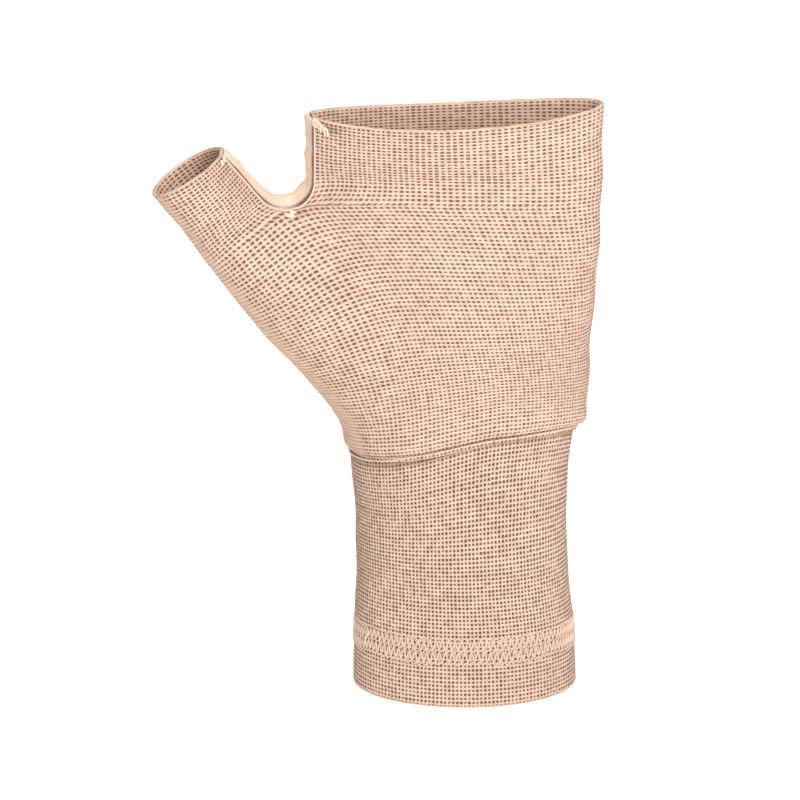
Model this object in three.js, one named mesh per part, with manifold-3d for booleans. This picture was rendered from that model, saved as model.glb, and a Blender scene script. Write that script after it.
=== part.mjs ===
/**
 * Elastic knitted wrist and thumb support, filled out as if worn and standing on its wrist rim.
 * Millimetres, +Z up. The wearer's forearm comes in from below, the fingers leave at the top and
 * the thumb leaves up and to the left (-X). The palm side faces -Y.
 * The origin is the centre of the wrist opening, in the plane of the lower rim.
 */
import * as THREE from 'three';
import { ParametricGeometry } from 'three/addons/geometries/ParametricGeometry.js';
import { mergeVertices } from 'three/addons/utils/BufferGeometryUtils.js';
import Module from 'manifold-3d';

const wasm = await Module();
wasm.setup();

// ---------------------------------------------------------------- driving dimensions, mm
const KNIT_WALL = 1.2; // thickness of the knitted fabric
const LAYER_GAP = 0.3; // clearance between any two pieces that lie on each other
const THREAD_RADIUS = 0.35; // sewing thread, as laid

const RIM_WIDTH = 65.2; // wrist cuff at its lower rim
const RIM_DEPTH = 46.0;
const NARROW_WIDTH = 60.8; // narrowest place of the wrist
const NARROW_DEPTH = 43.0;
const NARROW_HEIGHT = 50.0;
const NARROW_SHIFT = -1.1; // the narrow place lies a little towards the thumb

const CUFF_WALL = 1.0; // one layer of the doubled cuff
const CUFF_HEIGHT = 15.6; // outer layer of the doubled cuff
const CUFF_LINING_HEIGHT = 20.0; // turned-in layer, which reaches behind the wrist sleeve
const SEAM_BAND_WIDTH = 7.6; // zig-zag that joins cuff and wrist sleeve
const SEAM_BAND_TEETH = 40;

const CREASE_HEIGHT = 75.0; // where the hand sleeve is sewn over the wrist sleeve
const CREASE_SLOPE = 0.122; // it climbs towards the little finger
const CREASE_WIDTH = 67.6; // hand sleeve at that seam
const CREASE_DEPTH = 49.0;
const TUCK = 5.0; // wrist sleeve reaches this far up inside the hand sleeve
const CREASE_ROOM = 1.4; // the crease thread runs this far below the hand sleeve's edge

const KNUCKLE_HEIGHT = 174.2; // centre of the knuckle opening
const KNUCKLE_SHIFT = -2.65;
const KNUCKLE_WIDTH = 84.7;
const KNUCKLE_DEPTH = 32.4;
const KNUCKLE_TILT = THREE.MathUtils.degToRad(2.4);

const THUMB_SPREAD = 34.8; // centre of the thumb opening, left of the knuckle opening's corner
const THUMB_DROP = 16.7; // and below it
const THUMB_WIDTH = 23.9;
const THUMB_DEPTH = 28.0;
const THUMB_TILT = THREE.MathUtils.degToRad(31.4);
const THUMB_WALES = 0.29; // share of the knit's wales that run up the thumb

const WEB_RADIUS = 7.8; // round bottom of the cut between thumb and hand
const WEB_DEPTH = 25.9; // depth of that cut below the knuckle corner
const WEB_THICKNESS = 10.8; // across the web, front layer to back layer
const WELT_RADIUS = 0.6; // rolled edge of the knuckle and thumb openings
const BINDING_WALL = 1.2; // smooth tape along the cut
const SEAM_INSET = 2.6; // seams lie this far in from the cut edge

const PALM_DEPTH = 51.0; // thickest place, over the heel of the hand
const PALM_LEAN = -2.5; // openings lie a little towards the palm side

const CUT_MARGIN = 1.0; // the surface is drawn this far into the cut before it is trimmed
const FACET_ROOM = 0.45; // threads on the sleeve clear its flat facets by this much more
const ROWS_BELOW_CUT = 12; // rows of facets along the hand sleeve
const ROWS_BESIDE_CUT = 7;

// ---------------------------------------------------------------- small helpers
const { lerp, clamp, smoothstep } = THREE.MathUtils;

/** Value at x of the smooth curve through [x, value] pairs, level beyond both ends. */
function through(pairs, x) {
  const last = pairs.length - 1;
  const at = clamp(x, pairs[0][0], pairs[last][0]);
  let i = 0;
  while (i < last - 1 && at > pairs[i + 1][0]) {
    i += 1;
  }
  const slope = (k) => {
    const a = pairs[Math.max(k - 1, 0)];
    const b = pairs[Math.min(k + 1, last)];
    return (b[1] - a[1]) / (b[0] - a[0]);
  };
  const span = pairs[i + 1][0] - pairs[i][0];
  const t = (at - pairs[i][0]) / span;
  const t2 = t * t;
  const t3 = t2 * t;
  return (2 * t3 - 3 * t2 + 1) * pairs[i][1] + (t3 - 2 * t2 + t) * span * slope(i)
    + (3 * t2 - 2 * t3) * pairs[i + 1][1] + (t3 - t2) * span * slope(i + 1);
}

/** Shared-vertex triangles of a geometry, without collapsed ones, facing outwards. */
function closeUp(geometry) {
  geometry.deleteAttribute('normal');
  geometry.deleteAttribute('uv');
  const merged = mergeVertices(geometry, 1e-4);
  const position = merged.attributes.position;
  const source = merged.index.array;
  const kept = [];
  for (let i = 0; i < source.length; i += 3) {
    const [a, b, c] = [source[i], source[i + 1], source[i + 2]];
    if (a !== b && b !== c && c !== a) {
      kept.push(a, b, c);
    }
  }
  const p = new THREE.Vector3();
  const q = new THREE.Vector3();
  const r = new THREE.Vector3();
  let volume = 0;
  for (let i = 0; i < kept.length; i += 3) {
    p.fromBufferAttribute(position, kept[i]);
    q.fromBufferAttribute(position, kept[i + 1]);
    r.fromBufferAttribute(position, kept[i + 2]);
    volume += p.dot(q.cross(r));
  }
  if (volume < 0) {
    kept.reverse();
  }
  const closed = new THREE.BufferGeometry();
  closed.setAttribute('position', position);
  closed.setIndex(kept);
  return closed;
}

/** A manifold solid made from a closed geometry. */
function toSolid(geometry) {
  const closed = closeUp(geometry);
  const mesh = new wasm.Mesh({
    numProp: 3,
    vertProperties: Float32Array.from(closed.attributes.position.array),
    triVerts: Uint32Array.from(closed.index.array),
  });
  return new wasm.Manifold(mesh);
}

/** The geometry of a solid's largest body, without the slivers that a cut can leave. */
function fromSolid(solid) {
  const bodies = solid.decompose();
  const largest = bodies.reduce((best, body) => (body.volume() > best.volume() ? body : best));
  const mesh = largest.getMesh();
  const geometry = new THREE.BufferGeometry();
  geometry.setAttribute('position', new THREE.BufferAttribute(mesh.vertProperties, 3));
  geometry.setIndex(new THREE.BufferAttribute(mesh.triVerts, 1));
  return geometry;
}

/**
 * Closed ring: a section carried once round a path.
 * point(around, side) gives the surface, both parameters going from 0 to 1 and closing.
 */
function ring(point, steps, sides) {
  const surface = (u, v, target) => target.copy(point((u * steps) % steps / steps, (v * sides) % sides / sides));
  return closeUp(new ParametricGeometry(surface, steps, sides));
}

/** Round thread along an open curve. */
function thread(curve, radius, steps) {
  const section = new THREE.Shape();
  section.absellipse(0, 0, radius, radius, 0, Math.PI * 2, false, 0);
  const geometry = new THREE.ExtrudeGeometry(section, { steps, extrudePath: curve, curveSegments: 3 });
  return closeUp(geometry);
}

/** Round thread along a closed loop of points; the section stands on the given outward normals. */
function threadLoop(points, outwards, radius, sides) {
  const count = points.length;
  const spot = (around, side) => {
    const i = Math.round(around * count) % count;
    const ahead = points[(i + 1) % count];
    const behind = points[(i + count - 1) % count];
    const tangent = ahead.clone().sub(behind).normalize();
    const across = new THREE.Vector3().crossVectors(tangent, outwards[i]).normalize();
    const up = new THREE.Vector3().crossVectors(across, tangent);
    const angle = 2 * Math.PI * side;
    return points[i].clone()
      .addScaledVector(across, radius * Math.cos(angle))
      .addScaledVector(up, radius * Math.sin(angle));
  };
  return ring(spot, count, sides);
}

// ---------------------------------------------------------------- the wrist tube
const LAID = LAYER_GAP + THREAD_RADIUS; // centre of a thread above the fabric it lies on
const TUBE_GAP = KNIT_WALL + LAYER_GAP;
const TOP_WIDTH = CREASE_WIDTH - 2 * TUBE_GAP; // wrist sleeve where it enters the hand sleeve
const TOP_DEPTH = CREASE_DEPTH - 2 * TUBE_GAP;
const HALF_WIDTHS = [
  [0, RIM_WIDTH / 2],
  [NARROW_HEIGHT * 0.5, lerp(RIM_WIDTH, NARROW_WIDTH, 0.62) / 2],
  [NARROW_HEIGHT, NARROW_WIDTH / 2],
  [CREASE_HEIGHT, TOP_WIDTH / 2],
  [CREASE_HEIGHT + TUCK, TOP_WIDTH / 2],
];
const HALF_DEPTHS = [
  [0, RIM_DEPTH / 2],
  [NARROW_HEIGHT, NARROW_DEPTH / 2],
  [CREASE_HEIGHT, TOP_DEPTH / 2],
  [CREASE_HEIGHT + TUCK, TOP_DEPTH / 2],
];
const CENTRES = [
  [0, 0],
  [NARROW_HEIGHT, NARROW_SHIFT],
  [CREASE_HEIGHT, NARROW_SHIFT],
];

/** Height of the crease seam at x. */
const creaseAt = (x) => CREASE_HEIGHT + CREASE_SLOPE * x;

/** Point of the wrist tube at a turn (0 to 1) and a nominal height, moved in by inset. */
function wristPoint(turn, height, inset) {
  const angle = 2 * Math.PI * turn;
  const x = through(CENTRES, height) + (through(HALF_WIDTHS, height) - inset) * Math.cos(angle);
  const y = (through(HALF_DEPTHS, height) - inset) * Math.sin(angle);
  const climb = CREASE_SLOPE * x * smoothstep(height, CUFF_LINING_HEIGHT + 6, CREASE_HEIGHT);
  return new THREE.Vector3(x, y, height + climb);
}

/** Outward direction of the wrist tube at a turn. */
function wristNormal(turn, height) {
  const angle = 2 * Math.PI * turn;
  const x = Math.cos(angle) * through(HALF_DEPTHS, height);
  const y = Math.sin(angle) * through(HALF_WIDTHS, height);
  return new THREE.Vector3(x, y, 0).normalize();
}

/** Closed ring whose cross-section is a list of [height, inset] corners. */
function wristRing(corners, steps) {
  const spot = (turn, side) => {
    const [height, inset] = corners[Math.round(side * corners.length) % corners.length];
    return wristPoint(turn, height, inset);
  };
  return ring(spot, steps, corners.length);
}

// ---------------------------------------------------------------- the hand and thumb sleeve
/** Front view point as a 3-D vector in the middle plane. */
const flat = (x, z) => new THREE.Vector3(x, 0, z);
const creaseCentre = NARROW_SHIFT + 0.3;
const creaseLeft = flat(creaseCentre - CREASE_WIDTH / 2, creaseAt(creaseCentre - CREASE_WIDTH / 2));
const creaseRight = flat(creaseCentre + CREASE_WIDTH / 2, creaseAt(creaseCentre + CREASE_WIDTH / 2));
const knuckleHalf = flat(Math.cos(KNUCKLE_TILT), Math.sin(KNUCKLE_TILT)).multiplyScalar(KNUCKLE_WIDTH / 2);
const knuckleLeft = flat(KNUCKLE_SHIFT, KNUCKLE_HEIGHT).sub(knuckleHalf);
const knuckleRight = flat(KNUCKLE_SHIFT, KNUCKLE_HEIGHT).add(knuckleHalf);
const thumbHalf = flat(Math.cos(THUMB_TILT), Math.sin(THUMB_TILT)).multiplyScalar(THUMB_WIDTH / 2);
const thumbCentre = knuckleLeft.clone().add(flat(-THUMB_SPREAD, -THUMB_DROP));
const thumbOuter = thumbCentre.clone().sub(thumbHalf);
const thumbInner = thumbCentre.clone().add(thumbHalf);

const elbow = creaseLeft.clone().add(flat(-2.4, 9.0)); // the outline turns off towards the thumb
const thenar = elbow.clone().lerp(thumbOuter, 0.46).add(flat(-1.7, -1.1)); // full thumb muscle
const hip = creaseRight.clone().add(flat(2.1, 6.5)); // little-finger side, above the crease
const edgeOfHand = hip.clone().lerp(knuckleRight, 0.55).add(flat(0.8, 0));
const leftOutline = new THREE.CatmullRomCurve3([creaseLeft, elbow, thenar, thumbOuter]);
const rightOutline = new THREE.CatmullRomCurve3([creaseRight, hip, edgeOfHand, knuckleRight]);

/** The cut between hand and thumb: two straight sides on a round bottom. */
const webCentre = flat(knuckleLeft.x - WEB_RADIUS, knuckleLeft.z - WEB_DEPTH + WEB_RADIUS);
function tangentAngle(tip, side) {
  const away = tip.clone().sub(webCentre);
  return Math.atan2(away.z, away.x) + side * Math.acos(clamp(WEB_RADIUS / away.length(), -1, 1));
}
const handAngle = tangentAngle(knuckleLeft, -1);
const thumbAngle = tangentAngle(thumbInner, 1) - 2 * Math.PI;
const handTangent = webCentre.clone()
  .add(flat(Math.cos(handAngle), Math.sin(handAngle)).multiplyScalar(WEB_RADIUS));
const webCut = new THREE.Path();
webCut.moveTo(knuckleLeft.x, knuckleLeft.z);
webCut.lineTo(handTangent.x, handTangent.z);
webCut.absarc(webCentre.x, webCentre.z, WEB_RADIUS, handAngle, thumbAngle, true);
webCut.lineTo(thumbInner.x, thumbInner.z);
const webLength = webCut.getLength();
const handSide = knuckleLeft.distanceTo(handTangent);
const bottomAt = (handSide + WEB_RADIUS * (handAngle + Math.PI / 2)) / webLength;
const webBottom = flat(webCentre.x, webCentre.z - WEB_RADIUS);

/** Point of the cut at a share (0 to 1) of its length, from knuckle corner to thumb corner. */
function webPoint(share) {
  const p = webCut.getPointAt(clamp(share, 0, 1));
  return flat(p.x, p.y);
}

/** Direction out of the fabric into the cut at a share of its length. */
function webOut(share) {
  const t = webCut.getTangentAt(clamp(share, 0, 1));
  return flat(t.y, -t.x);
}

/** Point of the line along which thumb and hand part, reach inside the cut. */
const partingPoint = (share, reach) => webPoint(share).addScaledVector(webOut(share), reach);
const parting = webBottom.clone().add(flat(0, CUT_MARGIN));

/** Share of the sleeve's length, from crease to rims, at which thumb and hand part. */
const WEB_START = 1 - (KNUCKLE_HEIGHT - parting.z) / rightOutline.getLength();
const dividing = creaseLeft.clone().lerp(creaseRight, THUMB_WALES); // below it thumb and hand are one
const WEB_HALF = WEB_THICKNESS / 2;
const ROUND_DEPTHS = [ // half depth that thumb and hand share, fading out at the cut
  [0, CREASE_DEPTH / 2],
  [0.14, PALM_DEPTH / 2 - 0.3],
  [WEB_START * 0.5, PALM_DEPTH * 0.41],
  [WEB_START * 0.78, PALM_DEPTH * 0.25],
  [WEB_START, WEB_HALF],
  [1, WEB_HALF],
];
const HAND_DEPTHS = [
  [0, 0],
  [0.14, KNUCKLE_DEPTH * 0.25],
  [WEB_START * 0.5, KNUCKLE_DEPTH * 0.47],
  [WEB_START, KNUCKLE_DEPTH * 0.53],
  [1, KNUCKLE_DEPTH / 2],
];
const THUMB_DEPTHS = [
  [0, 0],
  [0.14, THUMB_DEPTH * 0.22],
  [WEB_START * 0.5, THUMB_DEPTH * 0.45],
  [WEB_START, THUMB_DEPTH * 0.52],
  [1, THUMB_DEPTH / 2],
];

/** Ends and end directions of the thumb's and the hand's part of a course, drawn in by inset. */
function course(length, inset) {
  const f = clamp(length, 0, 1);
  const up = flat(0, (length - f) * rightOutline.getLength());
  const left = leftOutline.getPointAt(f).add(up);
  const right = rightOutline.getPointAt(f).add(up);
  const opened = clamp((f - WEB_START) / (1 - WEB_START), 0, 1);
  const reach = CUT_MARGIN - inset;
  let thumbEdge = dividing.clone().lerp(webBottom.clone().add(flat(0, reach)), Math.min(f / WEB_START, 1));
  let handEdge = thumbEdge.clone();
  if (opened > 0) {
    thumbEdge = partingPoint(lerp(bottomAt, 1, opened), reach);
    handEdge = partingPoint(lerp(bottomAt, 0, opened), reach);
  }
  thumbEdge.add(up);
  handEdge.add(up);
  left.addScaledVector(thumbEdge.clone().sub(left).normalize(), inset);
  right.addScaledVector(handEdge.clone().sub(right).normalize(), inset);
  const climb = smoothstep(f, WEB_START, 1);
  const slant = Math.atan2(thumbEdge.z - left.z, thumbEdge.x - left.x) * Math.min(f / WEB_START, 1);
  const thumbTurn = lerp(slant * 0.6, THUMB_TILT, climb);
  const handTurn = lerp(slant * 0.3, KNUCKLE_TILT, climb);
  return { left, right, thumbEdge, handEdge, thumbTurn, handTurn };
}

/** Point of a smooth curve between two ends that arrives, or leaves, at a given angle. */
function bend(from, to, angle, atEnd, t) {
  const reach = from.distanceTo(to) / 2;
  const step = flat(Math.cos(angle), Math.sin(angle)).multiplyScalar(reach * (atEnd ? -1 : 1));
  const control = (atEnd ? to : from).clone().add(step);
  return from.clone().multiplyScalar((1 - t) * (1 - t))
    .addScaledVector(control, 2 * t * (1 - t))
    .addScaledVector(to, t * t);
}

/** Half depth of an ellipse at a share of its span. */
const lobe = (halfDepth, share) => Math.max(halfDepth, 0) * Math.sqrt(Math.max(0, 4 * share * (1 - share)));

/**
 * Point of the hand and thumb sleeve.
 * face: -1 palm side, 1 back of the hand. length: 0 crease, 1 rims.
 * lane: 'thumb', 'web' or 'hand'. across: 0 to 1 from left to right in that lane.
 * inset moves the surface inwards.
 */
function sleevePoint(face, length, lane, across, inset) {
  const c = course(length, inset);
  const thumbSpan = c.left.distanceTo(c.thumbEdge);
  const handSpan = c.handEdge.distanceTo(c.right);
  let p;
  let reached = thumbSpan;
  let own = 0;
  if (lane === 'thumb') {
    p = bend(c.left, c.thumbEdge, c.thumbTurn, true, across);
    reached = thumbSpan * across;
    own = lobe(through(THUMB_DEPTHS, length) - inset, across);
  } else if (lane === 'web') {
    p = c.thumbEdge.clone().lerp(c.handEdge, across);
  } else {
    p = bend(c.handEdge, c.right, c.handTurn, false, across);
    reached = thumbSpan + handSpan * across;
    own = lobe(through(HAND_DEPTHS, length) - inset, across);
  }
  const shared = lobe(through(ROUND_DEPTHS, length) - inset, reached / (thumbSpan + handSpan));
  const half = Math.cbrt(own ** 3 + shared ** 3);
  return new THREE.Vector3(p.x, PALM_LEAN * smoothstep(length, 0, 1) + face * half, p.z);
}

const LANES = [['thumb', 10], ['web', 1], ['hand', 22]];

/** Lengths at which the sleeve's surface has a row: evenly below the cut, and evenly beside it. */
const ROWS = [];
for (let i = 0; i < ROWS_BELOW_CUT; i += 1) {
  ROWS.push(WEB_START * i / ROWS_BELOW_CUT);
}
for (let i = 0; i <= ROWS_BESIDE_CUT; i += 1) {
  ROWS.push(lerp(WEB_START, 1, i / ROWS_BESIDE_CUT));
}

/** Solid filled sleeve through the given lengths, moved in by inset. */
function sleeveSolid(lengths, inset) {
  const rows = lengths.length - 1;
  const stations = [];
  for (const [lane, count] of LANES) {
    for (let i = 0; i <= count; i += 1) {
      const eased = (1 - Math.cos(Math.PI * i / count)) / 2;
      stations.push([lane, eased]);
    }
  }
  const around = 2 * rows + 2;
  const surface = (u, v, target) => {
    const k = Math.round(u * around) % around;
    const front = k <= rows;
    const length = lengths[front ? k : around - 1 - k];
    const [lane, across] = stations[Math.round(v * (stations.length - 1))];
    target.copy(sleevePoint(front ? -1 : 1, length, lane, across, inset));
  };
  return toSolid(new ParametricGeometry(surface, around, stations.length - 1));
}

/** Prism through both faces that takes away the fabric between thumb and hand. */
function webCutter() {
  const outline = new THREE.Shape();
  const clear = 14;
  const outAlong = flat(-Math.sin(THUMB_TILT), Math.cos(THUMB_TILT)).multiplyScalar(clear);
  outline.moveTo(knuckleLeft.x, knuckleLeft.z + clear);
  outline.lineTo(knuckleLeft.x, knuckleLeft.z);
  outline.absarc(webCentre.x, webCentre.z, WEB_RADIUS, handAngle, thumbAngle, true);
  outline.lineTo(thumbInner.x, thumbInner.z);
  outline.lineTo(thumbInner.x + outAlong.x, thumbInner.z + outAlong.z);
  const prism = new THREE.ExtrudeGeometry(outline, { depth: 80, bevelEnabled: false, curveSegments: 10 });
  prism.rotateX(Math.PI / 2);
  prism.translate(0, 40, 0);
  return toSolid(prism);
}

/** Outward direction of the sleeve, from its slopes. */
function sleeveNormal(face, length, lane, across) {
  const step = 0.004;
  const low = sleevePoint(face, length - step, lane, across, 0);
  const high = sleevePoint(face, Math.min(length, 1) + step, lane, across, 0);
  const left = sleevePoint(face, length, lane, Math.max(across - step, 0), 0);
  const right = sleevePoint(face, length, lane, Math.min(across + step, 1), 0);
  const normal = new THREE.Vector3().crossVectors(right.sub(left), high.sub(low)).normalize();
  return normal.y * face < 0 ? normal.negate() : normal;
}

/** Point laid on the sleeve, its centre one thread above the fabric. */
function laidOn(face, length, lane, across) {
  return sleevePoint(face, length, lane, across, 0)
    .addScaledVector(sleeveNormal(face, length, lane, across), LAID + FACET_ROOM);
}

// ---------------------------------------------------------------- the pieces
function makeHandSleeve() {
  const past = 0.03;
  const outer = sleeveSolid(ROWS, 0);
  const cavity = sleeveSolid([-past, ...ROWS, 1 + past], KNIT_WALL);
  return fromSolid(outer.subtract(cavity).subtract(webCutter()));
}

function makeWristSleeve() {
  const foot = CUFF_HEIGHT + LAYER_GAP + 0.1;
  const head = CREASE_HEIGHT + TUCK;
  const rows = 7;
  const corners = [];
  for (let i = 0; i <= rows; i += 1) {
    corners.push([lerp(foot, head, i / rows), 0]);
  }
  for (let i = rows; i >= 0; i -= 1) {
    corners.push([lerp(foot, head, i / rows), KNIT_WALL]);
  }
  return wristRing(corners, 48);
}

function makeWristCuff() {
  const inner = KNIT_WALL + LAYER_GAP; // outer face of the turned-in layer
  const innermost = inner + CUFF_WALL;
  const corners = [
    [0.5, 0],
    [CUFF_HEIGHT * 0.5, 0],
    [CUFF_HEIGHT, 0],
    [CUFF_HEIGHT, CUFF_WALL],
    [CUFF_WALL, CUFF_WALL],
    [CUFF_WALL, inner],
    [CUFF_LINING_HEIGHT, inner],
    [CUFF_LINING_HEIGHT, innermost],
    [CUFF_HEIGHT * 0.5, innermost],
    [0.5, innermost],
    [0, innermost - 0.4],
    [0, 0.4],
  ];
  return wristRing(corners, 48);
}

/** Zig-zag thread round the tube, its teeth crossing the edge between cuff and sleeve. */
function makeCuffSeam() {
  const middle = CUFF_HEIGHT + LAYER_GAP / 2 + 0.8;
  const swing = SEAM_BAND_WIDTH / 2 - THREAD_RADIUS;
  const wave = [1, 0, -1, 0];
  const count = SEAM_BAND_TEETH * wave.length;
  const points = [];
  const outwards = [];
  for (let i = 0; i < count; i += 1) {
    const height = middle + swing * wave[i % wave.length];
    points.push(wristPoint(i / count, height, -LAID));
    outwards.push(wristNormal(i / count, height));
  }
  return threadLoop(points, outwards, THREAD_RADIUS, 4);
}

/** Thread in the crease, under the lower edge of the hand sleeve. */
function makeTuckSeam() {
  const count = 120;
  const points = [];
  const outwards = [];
  for (let i = 0; i < count; i += 1) {
    const height = CREASE_HEIGHT - LAID - CREASE_ROOM - 0.35 * (i % 2);
    points.push(wristPoint(i / count, height, -LAID));
    outwards.push(wristNormal(i / count, height));
  }
  return threadLoop(points, outwards, THREAD_RADIUS, 4);
}

/** Rolled edge round an opening, standing one gap above the fabric's rim. */
function makeWelt(lane, tilt) {
  const half = 15;
  const up = flat(-Math.sin(tilt), Math.cos(tilt)).multiplyScalar(LAYER_GAP + WELT_RADIUS);
  const edgeSide = lane === 'thumb' ? 1 : 0;
  const points = [];
  const push = (face, across) => {
    points.push(sleevePoint(face, 1, lane, across, KNIT_WALL / 2).add(up));
  };
  for (let i = 0; i < half; i += 1) {
    const eased = (1 - Math.cos(Math.PI * (i + 0.5) / half)) / 2;
    push(-1, edgeSide ? 1 - eased : eased);
  }
  for (let i = half - 1; i >= 0; i -= 1) {
    const eased = (1 - Math.cos(Math.PI * (i + 0.5) / half)) / 2;
    push(1, edgeSide ? 1 - eased : eased);
  }
  const centre = points.reduce((sum, p) => sum.add(p), new THREE.Vector3()).divideScalar(points.length);
  const loop = new THREE.CatmullRomCurve3(points, true);
  const spaced = loop.getSpacedPoints(44).slice(0, 44);
  const outwards = spaced.map((p) => p.clone().sub(centre).normalize());
  return threadLoop(spaced, outwards, WELT_RADIUS, 6);
}

/** Smooth tape that closes the cut from front layer to back layer. */
function makeWebBinding() {
  const steps = 30;
  const ends = 0.004;
  const near = LAYER_GAP;
  const far = LAYER_GAP + BINDING_WALL;
  const surface = (u, v, target) => {
    const k = Math.round(v * 4) % 4;
    const capped = Math.round(u * (steps + 2));
    const i = clamp(capped - 1, 0, steps);
    const share = lerp(ends, 1 - ends, i / steps);
    const front = k === 0 || k === 3;
    const depth = k < 2 ? near : far;
    const collapse = capped === 0 || capped === steps + 2;
    const p = webPoint(share).addScaledVector(webOut(share), collapse ? (near + far) / 2 : depth);
    const lean = PALM_LEAN * 0.9;
    p.y = lean + (collapse ? 0 : (front ? -1 : 1) * WEB_HALF * 0.78);
    target.copy(p);
  };
  return closeUp(new ParametricGeometry(surface, steps + 2, 4));
}

/** Row of stitches along the cut, on one face, down the thumb, under the web and up the hand. */
function makeWebSeam(face) {
  const rows = 9;
  const top = 0.92; // the corner tacks hold the rest
  const foot = WEB_START + 0.03;
  const points = [];
  for (let i = 0; i <= rows; i += 1) {
    const length = lerp(top, foot, i / rows);
    const c = course(length, 0);
    points.push(laidOn(face, length, 'thumb', 1 - SEAM_INSET / c.left.distanceTo(c.thumbEdge)));
  }
  points.push(laidOn(face, WEB_START - 0.012, 'thumb', 0.93));
  points.push(laidOn(face, WEB_START - 0.025, 'thumb', 0.985));
  points.push(laidOn(face, WEB_START - 0.025, 'hand', 0.02));
  points.push(laidOn(face, WEB_START - 0.006, 'hand', 0.05));
  for (let i = rows; i >= 0; i -= 1) {
    const length = lerp(top, foot, i / rows);
    const c = course(length, 0);
    points.push(laidOn(face, length, 'hand', SEAM_INSET / c.handEdge.distanceTo(c.right)));
  }
  return thread(new THREE.CatmullRomCurve3(points), THREAD_RADIUS, 48);
}

/** Zig-zag tack on the palm side, between two places of one lane. */
function makeTack(lane, from, to, width, turns) {
  const points = [];
  for (let i = 0; i <= turns * 2; i += 1) {
    const share = i / (turns * 2);
    const swing = (i % 2 ? 1 : -1) * width / 2;
    const length = lerp(from[0], to[0], share) + swing;
    points.push(laidOn(-1, length, lane, lerp(from[1], to[1], share)));
  }
  return thread(new THREE.CatmullRomCurve3(points), THREAD_RADIUS, turns * 8);
}

// ---------------------------------------------------------------- the assembly
const KNIT = { color: 0xd8b093, roughness: 0.92, metalness: 0 };
const CUFF = { color: 0xd3aa8d, roughness: 0.92, metalness: 0 };
const TAPE = { color: 0xe8c3a4, roughness: 0.75, metalness: 0 };
const THREAD = { color: 0xf0d3ba, roughness: 0.6, metalness: 0 };

const PIECES = [
  ['hand_sleeve', makeHandSleeve, KNIT],
  ['wrist_sleeve', makeWristSleeve, KNIT],
  ['wrist_cuff', makeWristCuff, CUFF],
  ['cuff_seam_thread', makeCuffSeam, THREAD],
  ['crease_seam_thread', makeTuckSeam, THREAD],
  ['knuckle_welt', () => makeWelt('hand', KNUCKLE_TILT), TAPE],
  ['thumb_welt', () => makeWelt('thumb', THUMB_TILT), TAPE],
  ['web_binding', makeWebBinding, TAPE],
  ['web_seam_front', () => makeWebSeam(-1), THREAD],
  ['web_seam_back', () => makeWebSeam(1), THREAD],
  ['knuckle_corner_tack', () => makeTack('hand', [0.97, 0.03], [0.945, 0.1], 0.03, 4), THREAD],
  ['thumb_corner_tack', () => makeTack('thumb', [0.975, 0.9], [0.96, 0.82], 0.02, 2), THREAD],
  ['web_crotch_tack', () => makeTack('hand', [WEB_START - 0.055, 0.0], [WEB_START - 0.05, 0.05], 0.015, 3), THREAD],
];

const support = new THREE.Group();
for (const [name, make, finish] of PIECES) {
  const geometry = make();
  geometry.computeVertexNormals();
  const mesh = new THREE.Mesh(geometry, new THREE.MeshStandardMaterial(finish));
  mesh.name = name;
  support.add(mesh);
}

export default support;
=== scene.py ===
"""Looks of an elastic knitted wrist and thumb support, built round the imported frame.

The support is a filled-out knitted tube: a doubled cuff, a snug wrist, and a hand part that parts
into a short thumb stall and a wide knuckle opening on either side of a taped cut. Shapes are worked
out in millimetres as surfaces of two parameters, and go into the meshes in metres.
"""
import logging
from dataclasses import dataclass, field
from enum import Enum

import bpy
import numpy as np
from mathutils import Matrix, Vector


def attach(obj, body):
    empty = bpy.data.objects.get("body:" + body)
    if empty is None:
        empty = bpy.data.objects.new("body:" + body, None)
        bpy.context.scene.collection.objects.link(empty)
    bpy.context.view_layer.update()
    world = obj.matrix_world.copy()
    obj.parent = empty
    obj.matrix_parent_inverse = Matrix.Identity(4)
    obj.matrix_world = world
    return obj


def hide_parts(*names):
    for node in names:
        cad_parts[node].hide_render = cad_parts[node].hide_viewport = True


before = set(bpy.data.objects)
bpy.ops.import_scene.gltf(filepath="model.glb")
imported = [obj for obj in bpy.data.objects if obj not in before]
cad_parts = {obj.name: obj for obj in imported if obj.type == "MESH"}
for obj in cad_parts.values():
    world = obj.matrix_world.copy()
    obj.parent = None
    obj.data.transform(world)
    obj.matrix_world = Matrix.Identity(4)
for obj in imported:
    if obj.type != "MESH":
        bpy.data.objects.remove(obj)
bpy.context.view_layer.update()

log = logging.getLogger("support")
MM = 0.001
SEED = 7
DENSE = 181  # points across a strip before it is respaced
OUTSIDE = (0.0, 0.0, 0.98, 0.76)  # places in a piece's bake layout
INSIDE = (0.0, 0.78, 0.98, 0.20)
WHOLE = (0.0, 0.0, 0.98, 0.98)


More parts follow.
